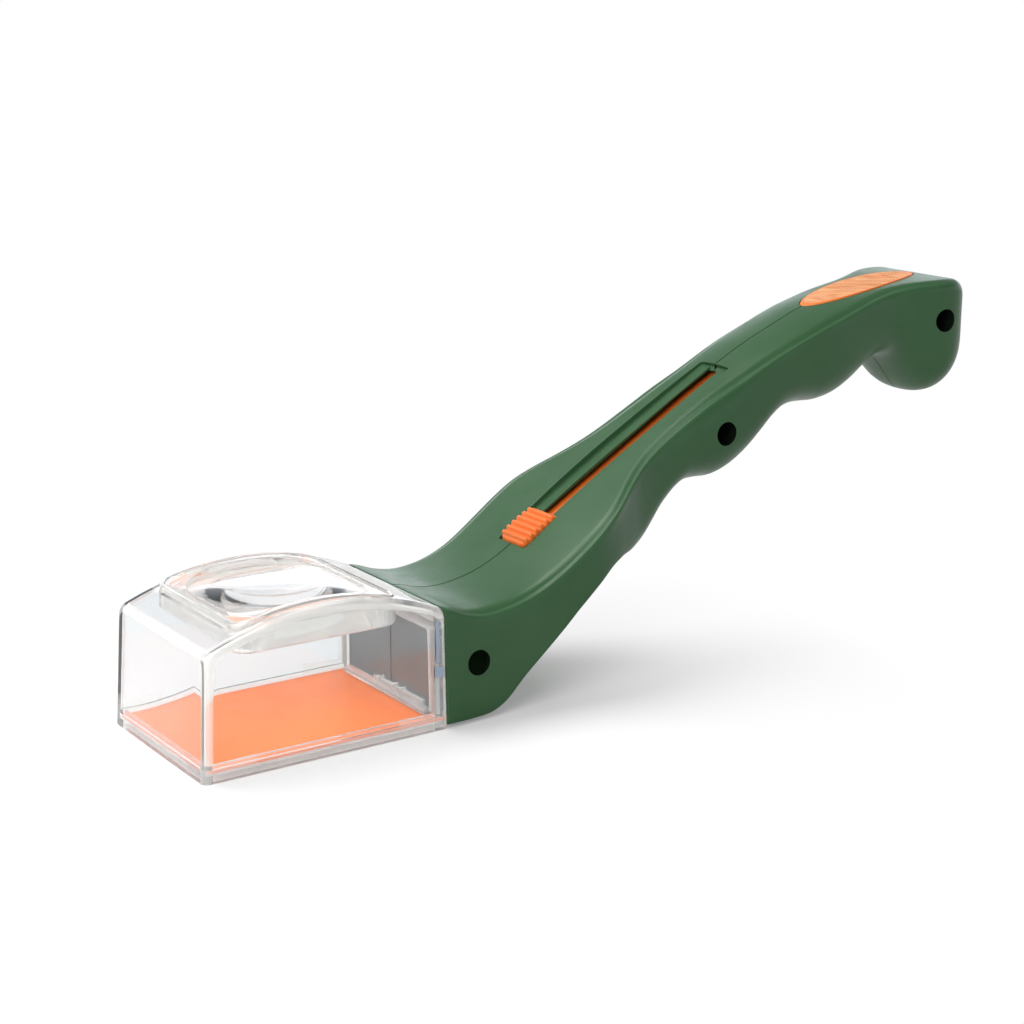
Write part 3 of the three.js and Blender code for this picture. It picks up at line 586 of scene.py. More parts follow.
def lower_outline(form):
    """From the panel's edge round the corner, down the side and under the belly."""
    crease = form["top"] - form["crown"]
    corner = form["corner"]
    middle = form["middle"]

    def side_y(z):
        v = max((z - middle) / (crease - middle), 0)
        return form["band"] + (form["side"] - form["band"]) * (1 - v ** form["bow"])

    start_y = form["band"] - corner
    start_z = band_height(form, start_y)
    end_z = crease - corner
    end_y = side_y(end_z)
    points = []
    for i in range(1, CORNER_POINTS + 1):
        t = i / (CORNER_POINTS + 1)
        s = 1 - t
        points.append((
            s * s * start_y + 2 * s * t * form["band"] + t * t * end_y,
            s * s * start_z + 2 * s * t * crease + t * t * end_z,
        ))
    for i in range(SIDE_POINTS):
        t = (i / (SIDE_POINTS - 1)) ** 2
        z = mix(end_z, middle, t)
        points.append((side_y(z), z))
    for i, angle in enumerate(quarter_turn(BELLY_POINTS, 1), 1):
        y = form["side"] * max(math.cos(angle), 0) ** (2 / form["fullness"])
        z = middle - (middle - form["bottom"]) * math.sin(angle) ** (2 / form["fullness"])
        points.append((SEAM_HALF if i == BELLY_POINTS else max(y, SEAM_HALF + 0.01), z))
    return points


def stepped(points, corner_index, amount):
    """The outline with the panel's edge stepped down, by moving points along their normals."""
    path = np.array(points)
    gaps = np.linalg.norm(np.diff(path, axis=0), axis=1)
    along = np.concatenate([[0], np.cumsum(gaps)])
    along -= along[corner_index]
    tangent = np.gradient(path, axis=0)
    tangent /= np.maximum(np.linalg.norm(tangent, axis=1, keepdims=True), 1e-9)
    normal = np.stack([-tangent[:, 1], tangent[:, 0]], axis=1)
    groove = np.exp(-((along - STEP_PLACE) / STEP_WIDTH) ** 2) * STEP_DEPTH
    moved = path - normal * (groove * amount)[:, None]
    return [tuple(p) for p in moved]


def handle_stations():
    """(distance from the joint or None, distance along the slot or None, slit open)."""
    slot_x, rear_x = slope_point(SLOT_OPEN, 0)[0], slope_point(SLOT_LENGTH, 0)[0]
    round_start = HANDLE_LENGTH - BUTT_ROUND_BOTTOM
    ahead = list(FRONT_STATIONS)
    ahead += [
        mix(FRONT_STATIONS[-1], slot_x - STATION_GAP, i / FRONT_COUNT)
        for i in range(1, FRONT_COUNT + 1)
    ]
    ahead.append(slot_x - EDGE_STEP)
    marks = [SLOT_OPEN + d for d in SLOT_FRONT_MARKS] + [SLIT_FRONT]
    marks += list(np.linspace(SLIT_FRONT + SLIT_MARGINS[0], SLOT_LENGTH - SLIT_MARGINS[1], SLIT_COUNT))
    marks += [SLOT_LENGTH - d for d in SLOT_REAR_MARKS]
    behind = [rear_x + EDGE_STEP]
    behind += [mix(rear_x + STATION_GAP, round_start, i / REAR_COUNT) for i in range(REAR_COUNT + 1)]
    behind += [round_start + BUTT_ROUND_BOTTOM * math.sin(a) for a in quarter_turn(BUTT_COUNT, 1)]
    slit_end = SLOT_LENGTH - SLIT_END_MARGIN
    return (
        [(x, None, False) for x in ahead]
        + [(None, s, SLIT_FRONT < s <= slit_end) for s in marks]
        + [(x, None, False) for x in behind]
    )


def slot_half_at(s):
    return SLOT_HALF - rounded_loss(min(s - SLOT_OPEN, SLOT_LENGTH - s), SLOT_CORNER)


def shell_section(station):
    """Outer and inner points of one half shell, on the +Y side, at one station."""
    x, s, slit = station
    sunk = s is not None
    if sunk:
        x = slope_point(s, 0)[0]
    form = handle_form(x)
    first = SLIT_HALF if slit else SEAM_HALF
    last = form["band"] - form["corner"]
    wall = slot_half_at(s) if sunk else min(SLOT_HALF - SLOT_CORNER, FLAT_WALL_SHARE * last)
    upper = []
    for y, share in band_rows(first, wall, last, sunk):
        surface = (x, y, band_height(form, y))
        if sunk:
            bulge = top_at(x) - slope_point(s, 0)[1]
            floor_x, floor_z = slope_point(s, -SLOT_DEPTH + SLOT_FLOOR_LIFT * bulge)
            surface = (mix(floor_x, x, share), y, mix(floor_z, surface[2], share))
        upper.append(surface)
    upper[0] = (upper[0][0], upper[0][1], upper[0][2] - EDGE_ROUND)
    lower = lower_outline(form)
    flat = [(p[1], p[2]) for p in upper] + lower
    corner_index = len(upper) + CORNER_POINTS // 2
    kept = len(upper) - BAND_OUTER_POINTS
    shaped = stepped(flat, corner_index, step_at(x))
    outer = [upper[i] if i < kept else (x, *shaped[i]) for i in range(len(flat))]
    if station[0] == 0:
        outer = [(px, py - JOINT_TUCK if py > 1 else py, pz) for px, py, pz in outer]
    inset = SHELL_WALL
    inner_x = min(x, HANDLE_LENGTH - inset)
    form = handle_form(inner_x, inset)
    last = max(form["band"] - form["corner"], first + 1)
    bed_z = slope_point(0, -SLOT_DEPTH - SLOT_BED)[1]
    bed_z += (inner_x - slope_point(0, 0)[0]) * math.tan(SLOT_ANGLE)
    slot_run = SLOT_LENGTH * math.cos(SLOT_ANGLE)
    in_bed = -BED_MARGIN < inner_x - SLOT_START < slot_run + BED_MARGIN
    inner = []
    for y, _ in band_rows(first, min(wall + BED_ROW_OFFSET, BED_ROW_SHARE * last), last, False):
        z = band_height(form, y)
        if in_bed and y < wall + BED_REACH:
            z = min(z, bed_z)
        inner.append((inner_x, y, z))
    floor_z = handle_form(inner_x)["bottom"]
    floor_z += mix(FLOOR_WALL_FRONT, inset, ease(inner_x, *FLOOR_WALL_EASE))
    for y, z in lower_outline(form):
        near_floor = z < form["bottom"] + FLOOR_BAND
        inner.append((inner_x, y, min(z, floor_z) if near_floor else z))
    return outer, inner


def half_shell(name, sign):
    sections = [shell_section(station) for station in handle_stations()]
    rows = len(sections)
    count = len(sections[0][0])
    points = [p for skin in zip(*sections) for ring in skin for p in ring]
    points = [(p[0] + JOINT_X, p[1] * sign, p[2]) for p in points]
    base = rows * count
    faces = []
    for r in range(rows - 1):
        for i in range(count - 1):
            a = r * count + i
            faces.append([a, a + 1, a + count + 1, a + count])
            faces.append([base + a, base + a + count, base + a + count + 1, base + a + 1])
        for i in (0, count - 1):
            a = r * count + i
            rim = [a, a + count, base + a + count, base + a]
            faces.append(rim if i == 0 else rim[::-1])
    for i in range(count - 1):
        faces.append([i, base + i, base + i + 1, i + 1])
    last = (rows - 1) * count
    faces.append([last + i for i in range(count)])
    faces.append([base + last + i for i in range(count)][::-1])
    faces.append([last, base + last, base + last + count - 1, last + count - 1])
    if sign < 0:
        faces = [face[::-1] for face in faces]
    shell = new_object(name, points, faces)
    if sign < 0:
        for x, z in SCREWS.values():
            side = handle_form(x)["side"]
            join(shell, rod("boss", BOSS_RADIUS, x, z, -side + BOSS_INSET, -SEAM_HALF, 64))
            cut(shell, rod("recess", SCREW_RECESS_RADIUS, x, z, -side - 6, -SCREW_SEAT_Y, 96))
            cut(shell, rod("pilot", PILOT_RADIUS, x, z, -SCREW_SEAT_Y - 1, 2, 32))
    cut(shell, pad_form("pad_bed", PAD_GAP, -PAD_THICKNESS - GAP, PAD_BED_RISE))
    return shell


def turned(name, profile, x, z, sides):
    """Body turned about an axis across the handle; the profile is (radius, y)."""
    turns = full_turn(sides)
    return loft(name, [
        [(JOINT_X + x + radius * math.cos(a), y, z + radius * math.sin(a)) for a in turns]
        for radius, y in profile
    ])


def rod(name, radius, x, z, y0, y1, sides):
    return turned(name, [(radius, y0), (radius, y1)], x, z, sides)


# Height of the handle's top surface
def top_surface(x, y):
    return band_height(handle_form(x), y)


def oval_point(share, angle, grow=0.0):
    return (
        PAD_CENTRE + (PAD_HALF_LENGTH + grow) * share * math.cos(angle),
        (PAD_HALF_WIDTH + grow) * share * math.sin(angle),
    )


def pad_ring(share, sides, offset, grow=0.0):
    """Ring of the oval; offset(x, y) is its height from the handle's top surface."""
    ring = []
    for angle in full_turn(sides):
        x, y = oval_point(share, angle, grow)
        ring.append((JOINT_X + x, y, top_surface(x, y) + offset(x, y)))
    return ring


def pad_form(name, grow, floor, rise):
    """Closed oval body between two offsets from the handle's top surface."""
    shares = (OVAL_MIDDLE, 0.25, 0.5, 0.75, 1.0)
    return loft(name, [
        pad_ring(share, PAD_BED_SIDES, lambda x, y: level, grow)
        for level, order in ((floor, shares), (rise, shares[::-1])) for share in order
    ])


def grip_pad():
    """Fine wavy lines run along the pad inside a smooth rim."""
    rings = [pad_ring(share, PAD_SIDES, lambda x, y: -PAD_THICKNESS) for share in (OVAL_MIDDLE, 1.0)]
    for k in range(PAD_STEPS + 1):
        share = max(1 - k / PAD_STEPS, OVAL_MIDDLE)
        edge = max(share - PAD_EDGE_FROM, 0) / (1 - PAD_EDGE_FROM)
        fade = ease(PAD_RIM_FROM - share, 0, PAD_LINE_FADE)

        def relief(x, y):
            rise = PAD_RISE - PAD_EDGE_DROP * edge * edge
            if share < PAD_RIM_FROM:
                wobble = sum(high * math.sin(x * a + y * b) for high, a, b in PAD_WOBBLE)
                wave = math.sin(2 * math.pi * (y + wobble) / PAD_LINE_PITCH)
                rise += fade * (-PAD_LINE_SINK + PAD_LINE_DEPTH * wave)
            return rise

        rings.append(pad_ring(share, PAD_SIDES, relief))
    return loft("grip_pad_skin", rings)


# Ribbed thumb button on its stem
def thumb_button():
    rings = []
    for k in range(BUTTON_STEPS + 1):
        t = k / BUTTON_STEPS
        d = BUTTON_LENGTH * t
        near_front, near_rear = d, BUTTON_LENGTH - d
        half = BUTTON_HALF - rounded_loss(near_front, BUTTON_FRONT_CORNER)
        half = max(half - rounded_loss(near_rear, BUTTON_REAR_CORNER), BUTTON_LEAST_HALF)
        pitch = (BUTTON_LENGTH - 2 * BUTTON_END) / BUTTON_RIBS
        phase = (d - BUTTON_END) / pitch
        crown = BUTTON_HEIGHT - BUTTON_CROWN * (2 * t - 1) ** 2
        valley = 0.5 + 0.5 * math.cos(2 * math.pi * phase)
        inside = 0 < phase < BUTTON_RIBS
        height = crown - RIB_DEPTH * valley ** RIB_POWER if inside else crown - RIB_DEPTH
        end_drop = max(1 - min(near_front, near_rear) / BUTTON_END, 0)
        height -= BUTTON_END_DROP * end_drop ** 2
        ring = []
        for j in range(BUTTON_ACROSS + 1):
            u = 2 * j / BUTTON_ACROSS - 1
            y = half * math.sin(u * math.pi / 2)
            edge = max(half - abs(y), 0)
            ring.append((y, height - rounded_loss(edge, BUTTON_EDGE_RADIUS)))
        foot = max(half - SLOT_FILLET, 0.3)
        band = CAP_FOOT + BUTTON_FOOT_BAND
        ring += [(half, band), (foot, CAP_FOOT), (-foot, CAP_FOOT), (-half, band)]
        points = []
        for y, n in ring:
            x, z = slope_point(BUTTON_START + d, n)
            points.append((JOINT_X + x, y, z))
        rings.append(points)
    cap = loft("button_cap", rings)
    stem = slope_block("button_stem", *STEM_SPAN, STEM_HALF, STEM_FOOT, CAP_FOOT + 0.1)
    return joined("thumb_button_cap", [cap, stem])


def slope_block(name, s0, s1, half, n0, n1, drop=0.0):
    """Box along the slot's slope, lower by drop at its rear end."""
    points = []
    for s, extra in ((s0, 0), (s1, -drop)):
        for y in (-half, half):
            for n in (n0 + extra, n1 + extra):
                x, z = slope_point(s, n)
                points.append((JOINT_X + x, y, z))
    return new_object(name, points, BOX_FACES)


# Pan-head screw with a cross recess, at the foot of its well
def screw(name, x, z):
    body = turned(name, SCREW_PROFILE, x, z, SCREW_SIDES)
    low, high = CROSS_LEVELS
    for along, across in CROSS_ARMS:
        corners = [(JOINT_X + x - along, low, z - across), (JOINT_X + x + along, high, z + across)]
        cut(body, block("cross", *corners))
    return body


# Counts of the points round one section of the chamber, and of its sections
ROOF_POINTS = 8
SHOULDER_POINTS = 10
WALL_POINTS = 13
FOOT_POINTS = 4
FRONT_POINTS = 10
CHAMBER_COUNT = 72
SQUARE_FLAT_POINTS = 7
SQUARE_CORNER_POINTS = 14
SQUARE_LIMIT = 0.98


# Chamber
def roof_height(x):
    middle = CHAMBER_LENGTH / 2
    return WALL_HEIGHT + ROOF_RISE * (1 - ((x - middle) / middle) ** 2)


def chamber_half(z):
    return CHAMBER_WIDTH / 2 - SIDE_LEAN * z / WALL_HEIGHT


def chamber_ring(u, side_inset, top_inset, bottom, corner_radius, at=None):
    inset = side_inset + rounded_loss(u - side_inset, corner_radius)
    section = min(u, CHAMBER_LENGTH)
    top = roof_height(section) - top_inset - rounded_loss(u - side_inset, ROOF_FRONT_RADIUS)
    corner = max(SHOULDER_RADIUS - top_inset, 1)
    lean = FRONT_LEAN * (1 - section / CHAMBER_LENGTH)
    half = []
    top_half = chamber_half(top) - inset
    for i in range(ROOF_POINTS + 1):
        half.append(((top_half - corner) * i / ROOF_POINTS, top))
    for angle in quarter_turn(SHOULDER_POINTS, 1)[:-1]:
        half.append((
            top_half - corner + corner * math.sin(angle), top - corner + corner * math.cos(angle),
        ))
    for i in range(WALL_POINTS + 1):
        z = mix(top - corner, bottom + FOOT_ROUND, i / WALL_POINTS)
        half.append((chamber_half(z) - inset, z))
    foot_half = chamber_half(bottom) - inset
    for angle in quarter_turn(FOOT_POINTS, 1):
        half.append((
            foot_half - FOOT_ROUND + FOOT_ROUND * math.cos(angle),
            bottom + FOOT_ROUND - FOOT_ROUND * math.sin(angle),
        ))
    half.append((0, bottom))
    ring = half + [(-y, z) for y, z in half[-2:0:-1]]
    x = u if at is None else at
    return [(x + lean * z / WALL_HEIGHT, y, z) for y, z in ring]


def chamber_loft(name, start, end, side_inset, top_inset, bottom, corner_radius=FRONT_CORNER_RADIUS):
    turns = quarter_turn(FRONT_POINTS)[:-1]
    stations = [start + corner_radius * (1 - math.cos(angle)) for angle in turns]
    stations += list(np.linspace(start + corner_radius, end - REAR_EDGE_ROUND, CHAMBER_COUNT))
    rings = [chamber_ring(u, side_inset, top_inset, bottom, corner_radius) for u in stations]
    inset = REAR_EDGE_ROUND
    rings.append(chamber_ring(end, side_inset + inset, top_inset + inset, bottom, corner_radius, at=end))
    return loft(name, rings)


def end_section(name, start, end, side_inset, top_inset, bottom):
    insets = (side_inset, top_inset, bottom, FRONT_CORNER_RADIUS)
    return loft(name, [chamber_ring(CHAMBER_LENGTH, *insets, at=x) for x in (start, end)])


def square_ring(half, corner, roundness=0.0):
    """Ring of a square with arc corners, blended towards a circle by roundness."""
    corner = min(corner, half * SQUARE_LIMIT)
    flat = half - corner
    count = SQUARE_FLAT_POINTS
    ring = []
    for quarter in range(4):
        turn = math.pi / 2 * quarter
        c, s = math.cos(turn), math.sin(turn)
        points = [(half, flat * i / count) for i in range(count)]
        points += [
            (flat + corner * math.cos(a), flat + corner * math.sin(a))
            for a in quarter_turn(SQUARE_CORNER_POINTS)
        ]
        points += [(flat * (count - i) / count, half) for i in range(1, count)]
        for x, y in points:
            size = math.hypot(x, y)
            scale = mix(1, half / size, roundness)
            ring.append((LENS_CENTRE + (x * c - y * s) * scale, (x * s + y * c) * scale))
    return ring


def square_tube(name, profile):
    """Closed skin of square rings; each row is half-size, corner, roundness, level, follows roof."""
    rings = []
    for half, corner, roundness, level, follows in profile:
        ring = []
        for x, y in square_ring(half, corner, roundness):
            ring.append((x, y, level + (roof_height(x) if follows else 0)))
        rings.append(ring)
    return loft(name, rings)


def chamber_shell():
    """Skin, collar, magnifier frame and lens socket, less the hollow, pockets and groove."""
    outer = chamber_loft("chamber_skin", 0, CHAMBER_LENGTH, 0, 0, 0)
    collar_start, collar_end = CHAMBER_LENGTH - FLANGE / 2, JOINT_X + COLLAR_LENGTH
    collar = end_section("collar", collar_start, collar_end, COLLAR_SIDE_INSET, COLLAR_TOP_INSET, -5)
    cut(collar, block("under", (0, -CUT_WIDE, -20), (CUT_LONG, CUT_WIDE, COLLAR_BOTTOM)))
    join(outer, collar)
    join(outer, square_tube("bezel", [
        (BEZEL_HALF - inset, BEZEL_CORNER, 0, level, True) for inset, level in BEZEL_PROFILE
    ]))
    cavity = chamber_loft(
        "cavity", CHAMBER_WALL, collar_end + 5, CHAMBER_WALL, CHAMBER_WALL, -5, CAVITY_CORNER)
    rail_half = CHAMBER_WIDTH / 2 - RAIL_WIDTH
    rails = block("rails", (-20, -CUT_WIDE, -40), (CUT_LONG, CUT_WIDE, RAIL_TOP))
    cut(rails, block("rail_gap", (RAIL_WIDTH, -rail_half, -50), (CUT_LONGER, rail_half, 60)))
    cut(cavity, rails)
    side, top = COLLAR_SIDE_INSET + COLLAR_WALL, COLLAR_TOP_INSET + COLLAR_WALL
    start = CHAMBER_LENGTH - FLANGE
    flange = block("flange", (start, -CUT_WIDE, -30), (CUT_LONG, CUT_WIDE, CUT_HIGH))
    cut(flange, end_section("flange_hole", 0, CUT_LONGER, side, top, -40))
    cut(cavity, flange)
    lip_end = start + STOP_LIP_LENGTH
    lip = block("lip", (start, -CUT_WIDE, RAIL_TOP + 0.01), (lip_end, CUT_WIDE, CUT_HIGH))
    cut(lip, end_section("lip_hole", 0, CUT_LONGER, side + STOP_LIP, top + STOP_LIP, -40))
    cut(cavity, lip)
    cut(outer, cavity)
    join(outer, square_tube("socket", [
        (BEZEL_HALF - 0.1, BEZEL_CORNER, 0, -0.6, True),
        (BEZEL_HALF - 0.1, BEZEL_CORNER, 0, SOCKET_BOTTOM + 0.6, False),
        (BEZEL_HALF - 0.6, BEZEL_CORNER - 0.5, 0, SOCKET_BOTTOM, False),
        (ROOF_HOLE_HALF - 1, POCKET_CORNER, 0, SOCKET_BOTTOM, False),
    ]))
    for name, half, corner, low in (
        ("pocket", POCKET_HALF, POCKET_CORNER, -0.02),
        ("roof_hole", ROOF_HOLE_HALF, POCKET_CORNER - 0.5, -16),
    ):
        cut(outer, square_tube(name, [(half, corner, 0, level, True) for level in (low, 5)]))
    for low, high in FLANGE_POCKETS:
        edge = chamber_half(low[1]) - POCKET_FOOT
        cut(outer, block("pocket_near", (low[0], -CUT_WIDE, low[1]), (high[0], -edge, high[1])))
        cut(outer, block("pocket_far", (low[0], edge, low[1]), (high[0], CUT_WIDE, high[1])))
    groove_half = DOOR_HALF + GAP
    cut(outer, block(
        "groove",
        (DOOR_FRONT - GAP, -groove_half, DOOR_BOTTOM - GAP),
        (CUT_LONG, groove_half, DOOR_BOTTOM + DOOR_THICKNESS + GAP),
    ))
    return outer


def magnifier():
    """Dished lens in a square moulding, with a flange at its top and a skirt below."""
    inner, outer = LENS_SKIRT_HALF - LENS_SKIRT_WALL, LENS_SKIRT_HALF
    plan, dome, foot = POCKET_CORNER - 0.5, LENS_DOME_CORNER, LENS_SKIRT_BOTTOM
    lens_top = LENS_EDGE_Z + LENS_EDGE_THICKNESS / 2
    lens_bottom = LENS_EDGE_Z - LENS_EDGE_THICKNESS / 2
    shares = [max(math.sin(angle), LENS_MIDDLE) for angle in quarter_turn(LENS_STEPS)]

    def dished(share, reach, level, crown):
        """Ring of a lens face: round in the middle, square at its edge."""
        round_share = (1 - share ** 3) * LENS_CIRCLE
        height = level + crown * (1 - share ** 2)
        return inner * share * reach, dome * share, round_share, height, False

    profile = [dished(share, 1, lens_top, LENS_TOP_CROWN) for share in shares]
    profile += [
        (inner, dome, 0, -0.9, True), (inner + 0.05, dome - 0.3, 0, 0.1, True),
        (inner + 0.3, dome - 1, 0, 0.42, True), (LENS_FLANGE_HALF - 0.3, plan, 0, 0.44, True),
        (LENS_FLANGE_HALF, plan, 0, 0.2, True), (LENS_FLANGE_HALF, plan, 0, 0.15, True),
        (outer, plan, 0, 0.12, True), (outer, plan, 0, foot + 0.4, False),
        (outer - 0.3, plan, 0, foot, False), (inner + 0.3, dome * 0.5, 0, foot, False),
        (inner, dome * 0.5, 0, foot + 0.4, False), (inner, dome * 0.9, 0, lens_bottom - 0.3, False),
    ]
    profile += [dished(share, 0.999, lens_bottom, -LENS_BOTTOM_CROWN) for share in shares[::-1]]
    return square_tube("magnifier_glass", profile)


def back_wall():
    """Smoky plate with a rib behind and a ridge in front; then its front, half-width and foot."""
    side = COLLAR_SIDE_INSET + COLLAR_WALL + GAP
    top = COLLAR_TOP_INSET + COLLAR_WALL + GAP
    front = CHAMBER_LENGTH - FLANGE + STOP_LIP_LENGTH + GAP
    back = front + WALL_THICKNESS
    bottom = DOOR_BOTTOM + DOOR_THICKNESS + GAP
    plate = end_section("plate", front, back, side, top, bottom)
    half = CHAMBER_WIDTH / 2 - side
    rib = block(
        "rib", (back - 0.1, -WALL_RIB_HALF, COLLAR_BOTTOM + 1),
        (back + WALL_RIB_DEPTH, WALL_RIB_HALF, WALL_HEIGHT - top - 1))
    ridge = block(
        "ridge", (front - RIDGE_RISE, -RIDGE_HALF, bottom + 3),
        (front + 0.1, RIDGE_HALF, roof_height(front) - top - 0.5))
    return joined("back_wall_plate", [plate, rib, ridge]), front, half, bottom


def on_ridge(place, normal):
    return abs(place.y) < RIDGE_HALF + 0.01 and place.x < CHAMBER_LENGTH - 1.2


def flange_inlays():
    """Grey-blue pockets of the rear flange, on both sides."""
    parts = []
    for low, high in FLANGE_POCKETS:
        half = chamber_half(low[1])
        for side in (-1, 1):
            ends = sorted((side * (half - POCKET_FACE), side * (half - POCKET_FOOT)))
            parts.append(block("pocket", (low[0], ends[0], low[1]), (high[0], ends[1], high[1])))
    return joined("flange_pockets", parts)


def guide_bar(front, half, bottom):
    """Stepped bar at the back wall's foot that keeps the door down, with its small ribs."""
    reach = half - STOP_LIP - 2 * GAP
    back = front - BAR_GAP
    parts = []
    for name, depth, near, far, low, high in GUIDE_BAR:
        bar = block(
            name, (front - depth, -reach + near, bottom + low), (back, reach - far, bottom + high))
        parts.append(soften(bar, BAR_ROUND))
    low, high = BAR_RIB_LEVELS
    for side, offset in BAR_RIBS:
        y = side * reach + offset
        rib = block(
            "rib", (front - BAR_RIB_DEPTH, y - BAR_RIB_HALF, bottom + low),
            (back, y + BAR_RIB_HALF, bottom + high))
        parts.append(soften(rib, BAR_RIB_ROUND))
    return joined("door_guide_bar", parts)


# Trap door: the flat panel and the tongue behind it
def door_panel():
    return soften(block(
        "trap_door_panel",
        (DOOR_FRONT, -DOOR_HALF, DOOR_BOTTOM),
        (JOINT_X - GAP, DOOR_HALF, DOOR_BOTTOM + DOOR_THICKNESS),
    ), DOOR_EDGE_ROUND, 3)


def door_tongue():
    middle = DOOR_BOTTOM + DOOR_THICKNESS / 2
    path = [(x, middle + rise) for x, rise in TONGUE_PATH]
    path += [slope_point(s, TONGUE_LEVEL) for s in TONGUE_ENDS]
    across, upward = (curve([(i, p[axis]) for i, p in enumerate(path)]) for axis in (0, 1))
    rings = []
    for k in range(TONGUE_STEPS + 1):
        t = (len(path) - 1) * k / TONGUE_STEPS
        dx = across(t + 0.01) - across(t - 0.01)
        dz = upward(t + 0.01) - upward(t - 0.01)
        size = math.hypot(dx, dz) or 1
        nx, nz = -dz / size * DOOR_THICKNESS / 2, dx / size * DOOR_THICKNESS / 2
        x, z = JOINT_X + across(t), upward(t)
        rings.append([
            (x + up * nx, side * TONGUE_HALF, z + up * nz)
            for up, side in ((1, -1), (1, 1), (-1, 1), (-1, -1))
        ])
    return loft("trap_door_tongue", rings)


# Materials
def node(tree, kind, inputs=None, **settings):
    made = tree.nodes.new(kind)
    for key, value in settings.items():
        setattr(made, key, value)
    for key, value in (inputs or {}).items():
        made.inputs[key].default_value = value
    return made


def wire(tree, *links):
    """Each link is a node and its output, then the node and the input that it feeds."""
    for source, output, target, entry in links:
        tree.links.new(source.outputs[output], target.inputs[entry])


def maths(tree, operation, *values):
    """One sum node; a value that is a socket is linked, any other is set."""
    made = node(tree, "ShaderNodeMath", operation=operation)
    for i, value in enumerate(values):
        if isinstance(value, bpy.types.NodeSocket):
            tree.links.new(value, made.inputs[i])
        else:
            made.inputs[i].default_value = value
    return made.outputs[0]


def colour_ramp(tree, first, last, ends=(0, 1)):
    ramp = node(tree, "ShaderNodeValToRGB")
    for element, place, colour in zip(ramp.color_ramp.elements, ends, (first, last)):
        element.position = place
        element.color = (*colour, 1)
    return ramp


def blank_tree(owner):
    owner.use_nodes = True
    owner.node_tree.nodes.clear()
    return owner.node_tree


def base_material(name, values):
    material = bpy.data.materials.new(name)
    material.use_nodes = True
    tree = material.node_tree
    shader = tree.nodes["Principled BSDF"]
    for key, value in values.items():
        shader.inputs[key].default_value = value
    return material, tree, shader


MOTTLE_SCALE = 38
MOTTLE_ENDS = (0.3, 0.7)
GRAIN_SCALE = 900
WEAR_SCALE = 120
CLEAR_IOR = 1.49
SHADE = 0.74


def moulded_plastic(name, colour, dark, light, roughness, bump=0.05, specular=0.5, **values):
    """Satin moulded plastic: soft mottling in the colour, fine spark-eroded grain, scuffed gloss."""
    material, tree, shader = base_material(name, {
        "Base Color": (*colour, 1), "Roughness": roughness, "Specular IOR Level": specular, **values,
    })
    place = node(tree, "ShaderNodeTexCoord")
    mottle = node(tree, "ShaderNodeTexNoise", {"Scale": MOTTLE_SCALE, "Detail": 4, "Roughness": 0.6})
    ramp = colour_ramp(tree, dark, light, MOTTLE_ENDS)
    fine = node(tree, "ShaderNodeTexNoise", {"Scale": GRAIN_SCALE, "Detail": 3, "Roughness": 0.5})
    wear = node(tree, "ShaderNodeTexNoise", {"Scale": WEAR_SCALE, "Detail": 6, "Roughness": 0.7})
    gloss = node(tree, "ShaderNodeMapRange", {
        "From Min": 0.3, "From Max": 0.75, "To Min": roughness - 0.05, "To Max": roughness + 0.08,
    })
    relief = node(tree, "ShaderNodeBump", {"Strength": bump, "Distance": 0.0003})
    wire(
        tree, *[(place, "Object", texture, "Vector") for texture in (mottle, fine, wear)],
        (mottle, "Fac", ramp, "Fac"), (ramp, "Color", shader, "Base Color"),
        (wear, "Fac", gloss, "Value"), (gloss, "Result", shader, "Roughness"),
        (fine, "Fac", relief, "Height"), (relief, "Normal", shader, "Normal"))
    return material


def clear_plastic(name, colour, roughness, clearness=1.0, bump=0.02):
    """Clear moulded plastic that lets the lamps through to what is behind it."""
    material, tree, shader = base_material(name, {
        "Base Color": (*colour, 1), "Roughness": roughness, "IOR": CLEAR_IOR,
        "Transmission Weight": clearness,
    })
    place = node(tree, "ShaderNodeTexCoord")
    ripple = node(tree, "ShaderNodeTexNoise", {"Scale": 60, "Detail": 2})
    relief = node(tree, "ShaderNodeBump", {"Strength": bump, "Distance": 0.0004})
    path = node(tree, "ShaderNodeLightPath")
    through = node(tree, "ShaderNodeBsdfTransparent", {"Color": (SHADE, SHADE, SHADE, 1)})
    choose = node(tree, "ShaderNodeMixShader")
    wire(
        tree, (place, "Object", ripple, "Vector"), (ripple, "Fac", relief, "Height"),
        (relief, "Normal", shader, "Normal"), (path, "Is Shadow Ray", choose, "Fac"),
        (shader, "BSDF", choose, 1), (through, "BSDF", choose, 2),
        (choose, "Shader", tree.nodes["Material Output"], "Surface"))
    return material


# Grip pad: colours inside and on the waves, colour of the rim, and the waves (pitch, height)
PAD_COLOUR = (0.67, 0.34, 0.165)
PAD_LINE_COLOUR = (0.57, 0.21, 0.083)
PAD_RIM_COLOUR = (0.66, 0.15, 0.02, 1)
PAD_SLOW_WAVE = (0.62, 0.55)
PAD_QUICK_WAVE = (1.7, 0.22)


